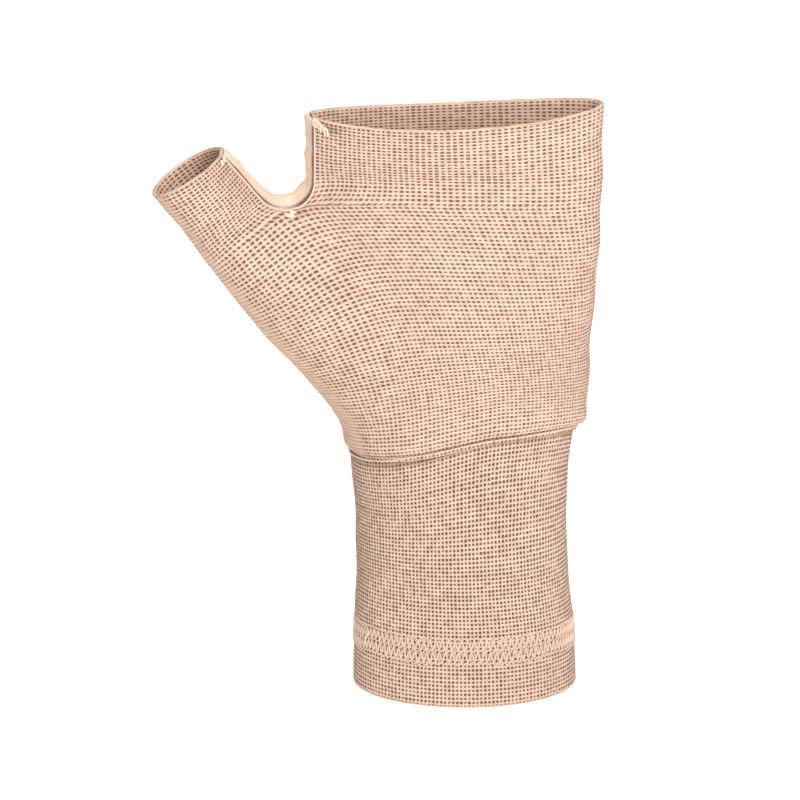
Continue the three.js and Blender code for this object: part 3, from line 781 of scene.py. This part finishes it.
    def strip(self, lane: Lane, face: Face, f: np.ndarray, dense: int, inset: float) -> np.ndarray:
        """Half a branch of the sleeve, from the outline to the cut or the parting line.

        Args:
            lane: thumb or hand.
            face: palm side or back.
            f: share of the sleeve's length for each row.
            dense: points across.
            inset: distance inwards from the outer surface.

        Returns:
            rows by dense by 3, in millimetres, from left to right.
        """
        left, thumb, hand, right, thumb_angle, hand_angle = self.ends(f, face, inset)
        shared, thumb_depth, hand_depth = self.depths(f)
        thumb_span = np.linalg.norm(thumb - left, axis=1)[:, None]
        hand_span = np.linalg.norm(right - hand, axis=1)[:, None]
        t = ((1 - np.cos(np.pi * np.linspace(0, 1, dense))) / 2)[None, :]
        if lane is Lane.THUMB:
            start, stop, angle, own, reach = left, thumb, thumb_angle, thumb_depth, thumb_span
            control = stop - np.stack([np.cos(angle), np.sin(angle)], axis=1) * reach / 2
        else:
            start, stop, angle, own, reach = hand, right, hand_angle, hand_depth, hand_span
            early = 0.5 - 0.22 * (ease(0.0, 0.4, f) * (1 - ease(self.start, 1.0, f)))[:, None]
            control = start + np.stack([np.cos(angle), np.sin(angle)], axis=1) * reach * early
        w = t[..., None]
        flat = (1 - w) ** 2 * start[:, None] + 2 * w * (1 - w) * control[:, None] + w**2 * stop[:, None]
        chord = (stop - start)[:, None]
        t = np.clip(((flat - start[:, None]) * chord).sum(axis=2) / reach**2, 0, 1)
        reached = thumb_span * t if lane is Lane.THUMB else thumb_span + hand_span * t
        round_all = (shared - inset)[:, None] * arc(reached / (thumb_span + hand_span))
        round_own = np.maximum(own - inset, 0)[:, None] * arc(t)
        away = hand_span * t if lane is Lane.HAND else thumb_span * (1 - t)
        joined = (1 - ease(self.start, self.start + 0.15, f))[:, None]
        joined = joined * np.exp(-((away / self.valley) ** 2))
        half = np.cbrt(round_all**3 + round_own**3 * (1 - joined))
        lean = self.lean * ease(0, 1, f)[:, None]
        x, z = flat[..., 0], flat[..., 1]
        if lane is Lane.HAND:
            z = z - self.sag * ease(0.55, 1, f)[:, None] * 4 * t * (1 - t)
        y = lean + face.value * half
        z = z + self.arch * arched(x, y) * (1 - ease(0.0, 0.34, f))[:, None]
        return np.stack([x, y, z], axis=2)


def soften(points: np.ndarray, normals: np.ndarray, amount: float) -> np.ndarray:
    """Slow dents and swells of worn knit: a few sine waves across the surface, moved along its
    normals."""
    x, y, z = np.moveaxis(points, 2, 0)
    wave = (
        np.sin(0.11 * x + 0.19 * z + 0.5) * np.sin(0.13 * z - 0.07 * x + 1.9)
        + 0.6 * np.sin(0.31 * z + 0.12 * y + 0.7) * np.sin(0.23 * x + 2.0)
    )
    return points + amount * wave[..., None] * normals


@dataclass
class HandSleeve:
    """The hand part and thumb stall, knitted in one."""

    form: SleeveForm
    courses: int = 86
    thumb_wales: int = 22
    hand_wales: int = 53
    relief: Relief = Relief()
    lip: float = 0.7  # how far the lower edge swells over the crease
    tuck: float = 1.7  # how far its end turns in
    dents: float = 0.22  # height of the slow dents and swells
    thumb_shade: float = 0.16  # how much painted shade darkens the thumb where its knit turns edgeways

    def lengths(self, steps: int) -> np.ndarray:
        """Length shares of the rows, a little closer near the crease, with some steps to a course."""
        return through([0.0, 0.5, 1.0], [0.0, 0.472, 1.0], np.linspace(0, 1, self.courses * steps + 1))

    def lipped(self, points: np.ndarray, f: np.ndarray, normals: np.ndarray) -> np.ndarray:
        """Rolls the lower edge: it swells out just above the crease and turns in at its end."""
        swell = self.lip * np.exp(-(((f - 0.04) / 0.028) ** 2))
        swell = swell - self.tuck * np.exp(-((f / 0.017) ** 2))
        return points + swell[:, None, None] * normals

    def respaced(self, strip: np.ndarray, f: np.ndarray, lane: Lane, steps: int,
                 backwards: bool) -> np.ndarray:
        """Respaces a strip's rows. Beside the cut the wales that run into it stand closer, so that
        the rest run on straight: they keep the way they have from the strip's far edge.

        Args:
            strip: rows by dense points by 3.
            f: share of the sleeve's length for each row.
            lane: thumb or hand.
            steps: points to a wale.
            backwards: whether the strip runs from right to left.

        Returns:
            rows by wales * steps + 1 by 3.
        """
        hand = lane is Lane.HAND
        wales = self.hand_wales if hand else self.thumb_wales
        at_start = hand != backwards
        edge = strip[:, 0 if at_start else -1][:, [0, 2]]
        first = edge[np.argmin(np.abs(f - self.form.start))]
        turn = np.radians(self.form.knuckle_tilt if hand else self.form.thumb_tilt)
        lost = (edge - first) @ np.array([np.cos(turn), np.sin(turn)]) * (1 if hand else -1)
        lost = np.where(f > self.form.start, np.maximum(lost, 0), 0)
        length = np.linalg.norm(np.diff(strip, axis=1), axis=2).sum(axis=1)
        return even_rows(strip, wales * steps + 1, lost / length, 0.45 if hand else 0.8, not at_start)

    def skin(self, faces: list, lane: Lane, f: np.ndarray, steps: int, inset: float) -> np.ndarray:
        """One surface of a strip of knit: its faces side by side, respaced by wales.

        Args:
            faces: side of each part, in order round the tube.
            lane: thumb or hand.
            f: share of the sleeve's length for each row.
            steps: points to a wale.
            inset: distance inwards from the outer surface.

        Returns:
            rows by columns by 3.
        """
        parts = []
        for face in faces:
            backwards = face is Face.BACK
            strip = self.form.strip(lane, face, f, DENSE, inset)
            strip = strip[:, ::-1] if backwards else strip
            part = self.respaced(strip, f, lane, steps, backwards)
            parts.append(part[:, 1:] if parts else part)
        return np.concatenate(parts, axis=1)

    def knitted(self, points: np.ndarray, f: np.ndarray, lane: Lane,
                rng: np.random.Generator) -> tuple:
        """Adds the knit's relief; returns the points, how pressed they are and their painted shade."""
        normals = grid_normals(points, False)
        points = soften(self.lipped(points, f, normals), normals, self.dents)
        thumb = lane is Lane.THUMB
        pressed = ease(0.10 if thumb else 0.40, 0.50 if thumb else 0.95, 1 - np.abs(normals[..., 1]))
        if thumb:
            pressed = pressed * (1 - ease(0.5, 0.8, np.abs(np.linspace(-1, 1, points.shape[1]))))
        wales = (points.shape[1] - 1) // self.relief.wale_steps
        heights = self.relief.heights(self.courses, wales, pressed, rng)
        # Painted shade from the crease and the tacks, and on the thumb where its knit turns edgeways.
        dark_tone_and_painted_shade = np.clip(self.shade(points, f) + (self.thumb_shade * pressed if thumb else 0), 0, 1)
        return points + heights[..., None] * normals, pressed, dark_tone_and_painted_shade

    @staticmethod
    def shade(points: np.ndarray, f: np.ndarray) -> np.ndarray:
        """Painted shade of each point, in the crease's fold or in the puckers beside two tacks."""
        x, y, z = np.moveaxis(points, 2, 0)
        front = (y < 0) * 1.0
        # Painted shade: under the crease's fold, darker away from the thumb; on the palm side, soft dark
        # patches beside the knuckle and crotch tacks.
        fold = 0.9 * (1 - ease(0.010, 0.026, f))[:, None] * (0.35 + 0.65 * ease(-30.0, 0.0, x))
        corner = 0.42 * np.exp(-(((x + 38.6) / 3.4) ** 2) - ((z - 170.4) / 1.6) ** 2)
        crotch = 0.40 * np.exp(-(((x + 49.5) / 4.6) ** 2) - ((z - 146.5) / 2.6) ** 2)
        return np.clip(fold + front * (corner + crotch), 0, 1)

    def make(self, name: str, faces: list, lane: Lane, material: bpy.types.Material,
             first_wale: int, seed: int) -> bpy.types.Object:
        """Makes one strip of knit, closed round its edges.

        Args:
            name: the piece's name.
            faces: side of each part, in order round the tube.
            lane: thumb or hand.
            material: the knit's finish.
            first_wale: wale number of the first column.
            seed: of the stitches' unevenness.

        Returns:
            The piece.
        """
        r = self.relief
        f = self.lengths(r.course_steps)
        rng = np.random.default_rng(SEED + seed)
        outside = self.skin(faces, lane, f, r.wale_steps, 0.0)
        outer, pressed, dark_tone_and_painted_shade = self.knitted(outside, f, lane, rng)
        inner = self.skin(faces, lane, self.lengths(1), 1, self.form.wall)
        build = MeshBuild(name)
        knit = counted(*outer.shape[:2], r.course_steps, r.wale_steps, first_wale)
        over = build.add_grid(outer, knit, OUTSIDE, True, pressed=pressed, dark_tone_and_painted_shade=dark_tone_and_painted_shade)
        under = build.add_grid(inner, counted(*inner.shape[:2], 1, 1, first_wale), INSIDE, False)
        build.seal(over, under, True)
        return build.finish(material, "hand_sleeve")


@dataclass
class WristForm:
    """Oval wrist tube, in millimetres: half widths, half depths and centres by height."""

    crease: float = 75.0
    slope: float = 0.122  # the crease rises this much for each millimetre towards the little finger
    arch: float = 6.8  # and this much over the heel of the hand
    waist: float = 40.0  # height at which the wales are spaced evenly

    def point(self, turn: np.ndarray, height: np.ndarray, inset: np.ndarray) -> np.ndarray:
        """Point of the tube.

        Args:
            turn: share of a full turn, from the little finger side over the back of the hand.
            height: nominal height.
            inset: distance inwards.

        Returns:
            x, y and z on a last axis.
        """
        keys = [0.0, 8.0, 21.0, 36.0, 50.0, 62.0, 75.0, 80.0]
        half_width = through(keys, [32.8, 32.6, 31.9, 31.0, 30.8, 31.3, 32.6, 32.9], height)
        half_depth = through(keys, [24.4, 24.1, 22.9, 21.9, 21.5, 21.9, 22.9, 23.0], height)
        centre = through(keys, [0.0, -0.1, -0.3, -0.9, -1.2, -1.3, -1.0, -0.9], height)
        angle = 2 * np.pi * turn
        x = centre + (half_width - inset) * np.cos(angle)
        y = (half_depth - inset) * np.sin(angle)
        climb = self.slope * x * ease(26.0, self.crease, height)
        climb = climb + self.arch * arched(x, y) * ease(38.0, self.crease, height)
        return np.stack([x, y, height + climb], axis=-1)

    def turns(self, columns: int) -> np.ndarray:
        """Turns that space columns evenly round the oval."""
        dense = np.linspace(0, 1, 2001)
        ring = self.point(dense, np.full(2001, self.waist), np.zeros(2001))
        along = travelled(ring)
        return np.interp(np.linspace(0, along[-1], columns), along, dense)


@dataclass
class WristSleeve:
    """The snug wrist tube between cuff and crease."""

    form: WristForm
    wales: int = 150
    foot: float = 16.0
    head: float = 79.0
    course_pitch: float = 1.2
    wall: float = 1.2
    dents: float = 0.15  # height of the slow dents and swells
    relief: Relief = Relief(depth=0.52, furrow=0.2, course_steps=3)

    def build(self, material: bpy.types.Material) -> bpy.types.Object:
        """Makes the tube: relief outside, plain inside, closed at both ends."""
        courses = round((self.head - self.foot) / self.course_pitch)
        r = self.relief
        turns = self.form.turns(self.wales * r.wale_steps + 1)
        heights = np.linspace(self.foot, self.head, courses * r.course_steps + 1)
        turn, height = np.meshgrid(turns, heights)
        base = self.form.point(turn, height, 0 * height)
        normals = grid_normals(base, True)
        pressed = ease(0.7, 1.0, np.abs(normals[..., 0]))
        bumps = r.heights(courses, self.wales, pressed, np.random.default_rng(SEED + 20))
        bumps[:, -1] = bumps[:, 0]
        outer = soften(base, normals, self.dents) + bumps[..., None] * normals
        # Painted shade on the wrist just under the crease's fold, darker away from the thumb.
        side = 0.35 + 0.65 * ease(-30.0, 0.0, base[..., 0])
        dark_tone_and_painted_shade = 0.9 * ease(self.form.crease - 2.8, self.form.crease - 1.3, height) * side
        coarse = self.form.turns(self.wales + 1)
        turn, height = np.meshgrid(coarse, np.linspace(self.foot, self.head, courses + 1))
        inner = self.form.point(turn, height, 0 * height + self.wall)
        build = MeshBuild("wrist_knit")
        knit = counted(*outer.shape[:2], r.course_steps, r.wale_steps)
        over = build.add_grid(outer, knit, OUTSIDE, True, True, pressed=pressed, dark_tone_and_painted_shade=dark_tone_and_painted_shade)
        under = build.add_grid(inner, counted(*inner.shape[:2], 1, 1), INSIDE, False, True)
        build.seal(over, under, False)
        return build.finish(material, "wrist_sleeve")


@dataclass
class WristCuff:
    """The doubled cuff: knit outside, folded under at the rim and turned up inside."""

    form: WristForm
    wales: int = 150
    height: float = 15.8
    lining: float = 20.0
    course_pitch: float = 1.3
    thickness: float = 2.4
    relief: Relief = Relief(depth=0.44, furrow=0.2, course_steps=3)

    def build(self, material: bpy.types.Material) -> bpy.types.Object:
        """Makes the cuff as one profile, in heights and insets, carried round the oval."""
        r = self.relief
        courses = round(self.height / self.course_pitch)
        count = courses * r.course_steps
        rise = np.linspace(1.0, self.height, count + 1)
        bend = np.pi * np.linspace(0, 1, 10)[1:-1]
        half = self.thickness / 2
        fold_z = 1.0 - 1.0 * np.sin(bend)
        fold_in = half - half * np.cos(bend)
        up = np.linspace(1.0, self.lining, 16)
        levels = np.concatenate([rise[::-1], fold_z, up, [self.lining, self.height + 0.2, self.height]])
        insets = np.concatenate([0 * rise, fold_in, 0 * up + self.thickness, [1.5, 1.5, 0.9]])
        turns = self.form.turns(self.wales * r.wale_steps + 1)
        turn, level = np.meshgrid(turns, levels)
        inset = np.broadcast_to(insets[:, None], level.shape)
        base = self.form.point(turn, level, inset)
        ring = self.form.point(turn[: count + 1], level[: count + 1], 0 * level[: count + 1])
        normals = -grid_normals(ring, True)
        pressed = np.zeros(base.shape[:2])
        pressed[: count + 1] = ease(0.7, 1.0, np.abs(normals[..., 0]))
        bumps = r.heights(courses, self.wales, pressed[: count + 1], np.random.default_rng(SEED + 30))
        bumps[:, -1] = bumps[:, 0]
        base[: count + 1] += bumps[..., None] * normals
        points = np.concatenate([base, base[:1]], axis=0)
        build = MeshBuild("cuff_knit")
        course = np.concatenate([np.arange(count + 1) / r.course_steps,
                                 courses + 0.5 + np.arange(len(levels) - count) * 1.0])
        knit = np.stack(np.meshgrid(np.arange(points.shape[1]) / r.wale_steps, course), axis=2)
        build.add_grid(points, knit, WHOLE, False, True, True, pressed=pressed)
        return build.finish(material, "wrist_cuff")


def add_tube(build: MeshBuild, path: np.ndarray, radius: object, sides: int, closed: bool,
             row: tuple = (0.0, 0.98)) -> None:
    """Adds a thread to a piece: a round tube, its open ends closed flat.

    Args:
        build: the piece.
        path: points by 3, in millimetres.
        radius: one radius, or one for each point.
        sides: corners of its section.
        closed: whether it joins up with itself.
        row: low and high v that it takes in the bake layout.
    """
    tube = sweep(path, radius, sides, closed)
    if closed:
        path, tube = (np.concatenate([points, points[:1]]) for points in (path, tube))
    knit = np.stack(np.meshgrid(np.arange(sides + 1) / sides, travelled(path)), axis=2)
    place = (0.0, row[0], 0.98, row[1] - row[0])
    index = build.add_grid(tube, knit, place, False, closed=True, looped=closed)
    if not closed:
        build.add_spot(np.stack([index[0, :-1], index[-1, :-1][::-1]]))


@dataclass
class WebTape:
    """Smooth tape that closes the cut from the palm layer to the back layer."""

    form: SleeveForm
    thickness: float = 1.0
    sewn_in: float = 0.7  # it reaches this much further into the back layer
    hand_lean: float = 1.3  # by the hand its back edge stands this far into the cut
    thumb_lean: float = 0.5  # and by the thumb

    def build(self, material: bpy.types.Material) -> bpy.types.Object:
        """Makes the tape as a flat, slightly bowed and wavy strip along the cut, closed all round."""
        along = np.linspace(0.012, 0.988, 141)
        hand, thumb = self.form.web_side(along)
        across = np.linspace(0, 1, 17)
        w = across[None, :]
        low = -self.form.edge_back(along) - 0.25
        high = self.hand_lean * hand + self.thumb_lean * thumb
        out = (1 - w) * low[:, None] + w * high[:, None]
        wave = 0.22 * np.sin(along * 31.0) + 0.16 * np.sin(along * 57.0 + 1.0)
        out = out + 0.5 * np.sin(np.pi * w) + wave[:, None] * w
        palm_edge, back_edge = (self.layer(along, face)[:, None] for face in (Face.PALM, Face.BACK))
        y = (1 - w) * palm_edge + w * back_edge + 0.1
        shares = np.repeat(along[:, None], len(across), axis=1)
        top = self.place(shares, out, y)
        under = self.place(shares, out - self.thickness - self.sewn_in * w**2, y)
        build = MeshBuild("web_tape")
        knit = np.stack(np.meshgrid(across, along * self.form.web_length), axis=2)
        # Painted shadow along the tape's palm-side edge, under the palm layer's edge, fading out at the
        # tape's ends.
        ends = ease(0.0, 0.05, along) * ease(0.0, 0.05, 1 - along) * np.clip(0.35 + hand + thumb, 0, 1)
        dark_tone_and_painted_shade = 0.95 * (1 - ease(0.16, 0.30, w)) * ends[:, None]
        over = build.add_grid(top, knit, (0, 0, 0.45, 0.98), True, dark_tone_and_painted_shade=dark_tone_and_painted_shade)
        back = build.add_grid(under, knit, (0.5, 0, 0.45, 0.98), False)
        build.seal(over, back, True)
        return build.finish(material, "web_binding")

    def layer(self, along: np.ndarray, face: Face) -> np.ndarray:
        """Where a layer of the sleeve ends at the cut, front to back.

        Args:
            along: shares of the cut's length.
            face: palm side or back.

        Returns:
            y for each share.
        """
        ends = []
        for lane, column, (shares, risen) in zip((Lane.HAND, Lane.THUMB), (0, -1), self.form.climbs):
            f = self.form.start + (1 - self.form.start) * risen
            edge = self.form.strip(lane, face, f, 9, 0.0)[:, column, 1]
            ends.append(np.stack([shares, edge]))
        places, edges = np.concatenate([ends[0][:, ::-1], ends[1]], axis=1)
        return np.interp(along, places, edges)

    def place(self, share: np.ndarray, out: np.ndarray, y: np.ndarray) -> np.ndarray:
        """Points of the tape from share of the cut, distance into it and y."""
        flat = self.form.web_point(share, out)
        return np.stack([flat[..., 0], y, flat[..., 1]], axis=-1)


@dataclass
class Trims:
    """Rolled edges, seams and tacks, in millimetres."""

    form: SleeveForm
    wrist: WristForm
    rim_radius: float = 0.40
    edge_radius: float = 0.34  # of the rolled edge along the cut, by the thumb
    edge_thins: float = 0.08  # and it is this much thinner by the hand
    crease_radius: float = 0.26
    needle: float = 0.25  # radius of the cuff seam's zig-zag thread
    looper: float = 0.20  # and of its wavy threads
    tail: float = 0.32  # and of its loose end
    teeth: int = 108  # zig-zags round the cuff
    tack_radius: float = 0.34

    def rim(self, lane: Lane, name: str, node: str, material: bpy.types.Material) -> bpy.types.Object:
        """Rolled edge round an opening, following the sleeve's rim and crossing the tape's end."""
        one = np.array([1.0])
        front = self.form.strip(lane, Face.PALM, one, 90, 0.5)[0]
        back = self.form.strip(lane, Face.BACK, one, 90, 0.5)[0]
        loop = np.concatenate([front, back[::-1][1:-1]])
        closed = np.concatenate([loop, loop[:1]])
        path = even_rows(closed[None], 221)[0][:-1]
        tilt = np.radians(self.form.thumb_tilt if lane is Lane.THUMB else self.form.knuckle_tilt)
        path = path + 0.1 * np.array([-np.sin(tilt), 0, np.cos(tilt)])
        build = MeshBuild(name)
        add_tube(build, path, self.rim_radius, 8, True)
        return build.finish(material, node)

    def web_edge(self, face: Face, name: str, node: str, material: bpy.types.Material) -> bpy.types.Object:
        """Fine rolled edge of one layer along the cut."""
        f = np.linspace(0.99, self.form.start + 0.004, 60)
        thumb = self.form.strip(Lane.THUMB, face, f, DENSE, 0.0)[:, -3]
        hand = self.form.strip(Lane.HAND, face, f[::-1], DENSE, 0.0)[:, 2]
        path = even_rows(np.concatenate([thumb, hand])[None], 161)[0]
        share = np.linspace(0, 1, 161)
        radius = self.edge_radius - self.edge_thins * ease(0.55, 0.8, share)
        build = MeshBuild(name)
        add_tube(build, path, radius, 8, False)
        return build.finish(material, node)

    def crease(self, material: bpy.types.Material) -> bpy.types.Object:
        """Thread in the crease under the hand sleeve's lower edge."""
        turn = np.linspace(0, 1, 481)[:-1]
        height = self.wrist.crease + 0.5 + 0.2 * np.sin(2 * np.pi * 110 * turn)
        path = self.wrist.point(turn, height, np.full_like(turn, -0.15))
        build = MeshBuild("crease_thread")
        add_tube(build, path, self.crease_radius, 6, True)
        return build.finish(material, "crease_seam_thread")

    def cuff_seam(self, material: bpy.types.Material) -> bpy.types.Object:
        """Overlock band: two zig-zags of needle thread between three wavy looper threads, and the
        thread's loose end."""
        build = MeshBuild("cuff_seam")
        teeth = self.teeth
        turn = np.linspace(0, 1, teeth * 8 + 1)[:-1]
        wander = 0.25 * np.sin(2 * np.pi * 7 * turn) + 0.2 * np.sin(2 * np.pi * 17 * turn + 1)
        for tier, (level, phase) in enumerate(((15.2, 0.0), (18.7, 0.5))):
            saw = 2 * np.abs(2 * ((turn * teeth + phase) % 1.0) - 1) - 1
            path = self.wrist.point(turn, level + wander + 1.7 * saw, -0.05 - 0.1 * saw * saw)
            add_tube(build, path, self.needle, 5, True, (0.2 * tier, 0.2 * tier + 0.18))
        for row, (level, phase) in enumerate(((13.3, 0.0), (17.0, 0.5), (20.6, 0.25))):
            wave = level + wander + 0.35 * np.sin(2 * np.pi * (turn * teeth + phase))
            path = self.wrist.point(turn, wave, np.full_like(turn, -0.08))
            add_tube(build, path, self.looper, 5, True, (0.4 + 0.19 * row, 0.58 + 0.19 * row))
        share = np.linspace(0, 1, 30)
        loose = self.wrist.point(0.575 + 0.012 * share, 15.2 + 4.2 * share,
                                 -0.4 - 1.4 * share * (1 - share))
        add_tube(build, loose, self.tail, 6, False, (0.97, 0.98))
        return build.finish(material, "cuff_seam_thread")

    def tack(self, name: str, node: str, places: list, size: float, material: bpy.types.Material,
             lane: Lane) -> bpy.types.Object:
        """Tack of small thread loops on the palm side.

        Args:
            name: the piece's name.
            node: the frame's piece.
            places: (length, share across) of each loop.
            size: height of a loop.
            material: thread finish.
            lane: branch that it sits on.

        Returns:
            The piece.
        """
        build = MeshBuild(name)
        for k, (length, across) in enumerate(places):
            f = np.array([length - 0.01, length, length + 0.01])
            strip = self.form.strip(lane, Face.PALM, f, DENSE, 0.0)
            j = int(round(np.arccos(1 - 2 * across) / np.pi * (DENSE - 1)))
            centre = strip[1, j]
            up = strip[2, j] - strip[0, j]
            up /= np.linalg.norm(up)
            over = strip[1, min(j + 2, DENSE - 1)] - strip[1, max(j - 2, 0)]
            over /= np.linalg.norm(over)
            out = np.cross(over, up)
            turn = np.linspace(-0.15, 1.15, 25) * np.pi
            loop = (centre + 0.3 * size * np.cos(turn)[:, None] * over
                    + size * (np.sin(turn) - 0.5)[:, None] * up
                    + (0.25 + 0.35 * np.sin(turn))[:, None] * out)
            low = k / len(places)
            add_tube(build, loop, self.tack_radius, 6, False, (low, low + 0.9 / len(places)))
        return build.finish(material, node)


# ------------------------------------------------------------------ studio
@dataclass
class Studio:
    """Pale floor, soft lights and a long-lens camera."""

    target: tuple = (-0.0190, 0.0, 0.0863)
    distance: float = 1.8
    elevation: float = np.radians(18.0)
    field_width: float = 0.232
    sensor: float = 36.0

    def build(self) -> None:
        """Makes floor, lights, world and camera."""
        self.floor()
        self.lights()
        self.camera()

    def floor(self) -> None:
        """A wide plain floor, just under the rim."""
        mesh = bpy.data.meshes.new("floor")
        size, level = 6.0, -0.0002
        corners = [(x * size, y * size, level) for x, y in ((-1, -1), (1, -1), (1, 1), (-1, 1))]
        mesh.from_pydata(corners, [], [(0, 1, 2, 3)])
        n = Nodes("floor_paper")
        grain = n.noise(n.place(), 30.0, 2.0)
        n.surface(n.mix(n.ramp(grain, 0.3, 0.7), (0.93, 0.93, 0.90), (0.92, 0.92, 0.89)), 0.9, 0.0, 0.1)
        n.shader.inputs["Emission Color"].default_value = (1.0, 1.0, 0.967, 1.0)
        n.shader.inputs["Emission Strength"].default_value = 0.45
        mesh.materials.append(n.material)
        floor = bpy.data.objects.new("floor", mesh)
        bpy.context.scene.collection.objects.link(floor)

    def lights(self) -> None:
        """A broad key from the front and above, a fill from the left, and a pale world."""
        self.area("key", (0.55, -1.7, 1.0), (0.0, 0.0, 0.09), 1.0, 31.5)
        self.area("fill", (-0.5, -1.6, 0.9), (-0.02, 0.0, 0.09), 0.8, 6.0)
        self.area("top", (0.1, -0.4, 1.8), (0.0, 0.0, 0.1), 0.9, 9.0)
        self.area("back", (-0.5, 1.7, 0.9), (0.0, 0.0, 0.09), 1.0, 18.0)
        world = bpy.data.worlds.new("studio")
        world.use_nodes = True
        world.node_tree.nodes["Background"].inputs[0].default_value = (1.0, 0.995, 0.985, 1.0)
        world.node_tree.nodes["Background"].inputs[1].default_value = 0.32
        bpy.context.scene.world = world

    def area(self, name: str, place: tuple, aim: tuple, size: float, watts: float) -> None:
        """One square area light."""
        light = bpy.data.lights.new(name, "AREA")
        light.size = size
        light.energy = watts
        lamp = bpy.data.objects.new(name, light)
        lamp.location = place
        lamp.rotation_euler = self.look(place, aim)
        bpy.context.scene.collection.objects.link(lamp)

    @staticmethod
    def look(place: tuple, aim: tuple) -> object:
        """Rotation that points an object's -Z at aim."""
        return (Vector(aim) - Vector(place)).to_track_quat("-Z", "Y").to_euler()

    def camera(self) -> None:
        """The camera, looking down a little at the support from the palm side."""
        camera = bpy.data.cameras.new("camera")
        camera.sensor_width = self.sensor
        camera.lens = self.sensor * self.distance / self.field_width
        camera.clip_end = 100.0
        rig = bpy.data.objects.new("camera", camera)
        x, y, z = self.target
        back = self.distance * np.cos(self.elevation)
        place = (x, y - back, z + self.distance * np.sin(self.elevation))
        rig.location = place
        rig.rotation_euler = self.look(place, self.target)
        bpy.context.scene.collection.objects.link(rig)
        bpy.context.scene.camera = rig


def main() -> None:
    """Builds the studio and every piece of the support."""
    logging.basicConfig(level=logging.INFO, format="%(message)s")
    bpy.context.scene.view_settings.view_transform = "Standard"
    Studio().build()
    form = SleeveForm()
    wrist = WristForm()
    # The wrist and cuff yarns are darker copies of the hand's yarn: painted shade for the dimmer light low on
    # the tube.
    hand_knit = KnitFinish("hand_knit", (0.786, 0.556, 0.430), (0.638, 0.432, 0.329), pit_width=0.52,
                           pit_height=0.48, groove=0.20, depth=0.78).build()
    thumb_knit = KnitFinish("thumb_knit", (0.777, 0.551, 0.425), (0.620, 0.418, 0.320), pit_width=0.52,
                            pit_height=0.50, groove=0.26, depth=0.80, smooth_fold=0.85).build()
    wrist_knit = KnitFinish("wrist_knit", (0.738, 0.535, 0.406), (0.585, 0.406, 0.302), pit_width=0.53,
                            pit_height=0.55, groove=0.10, depth=0.90).build()
    cuff_knit = KnitFinish("cuff_knit", (0.717, 0.519, 0.393), (0.566, 0.393, 0.295), pit_width=0.52,
                           pit_height=0.54, groove=0.12, depth=0.88).build()
    tape = TapeFinish("smooth_tape", light=(0.95, 0.71, 0.54), dark_tone_and_painted_shade=(0.82, 0.57, 0.42)).build()
    edge = TapeFinish("rolled_edge", light=(0.74, 0.52, 0.39), dark_tone_and_painted_shade=(0.56, 0.38, 0.28)).build()
    thread = ThreadFinish("sewing_thread").build()
    bright = ThreadFinish("tack_thread", light=(0.98, 0.84, 0.70), dark_tone_and_painted_shade=(0.84, 0.66, 0.52)).build()

    hand = HandSleeve(form)
    hand.make("hand_palm_knit", [Face.PALM], Lane.HAND, hand_knit, 22, 1)
    hand.make("hand_back_knit", [Face.BACK], Lane.HAND, hand_knit, 75, 2)
    hand.make("thumb_knit", [Face.BACK, Face.PALM], Lane.THUMB, thumb_knit, 128, 3)
    WristSleeve(wrist).build(wrist_knit)
    WristCuff(wrist).build(cuff_knit)
    WebTape(form).build(tape)
    trims = Trims(form, wrist)
    trims.rim(Lane.HAND, "knuckle_edge", "knuckle_welt", edge)
    trims.rim(Lane.THUMB, "thumb_edge", "thumb_welt", edge)
    trims.web_edge(Face.PALM, "web_edge_palm", "web_seam_front", thread)
    trims.web_edge(Face.BACK, "web_edge_back", "web_seam_back", thread)
    trims.crease(thread)
    trims.cuff_seam(thread)
    trims.tack("knuckle_tack", "knuckle_corner_tack",
               [(0.996, 0.004), (0.992, 0.012), (0.987, 0.021), (0.981, 0.031), (0.973, 0.043)],
               1.6, bright, Lane.HAND)
    trims.tack("thumb_tack", "thumb_corner_tack", [(0.99, 0.985), (0.985, 0.95)],
               0.9, bright, Lane.THUMB)
    trims.tack("crotch_tack", "web_crotch_tack",
               [(form.start - 0.004, 0.990), (form.start - 0.011, 0.965), (form.start - 0.006, 0.930)],
               0.9, bright, Lane.THUMB)


if __name__ == "__main__":
    main()
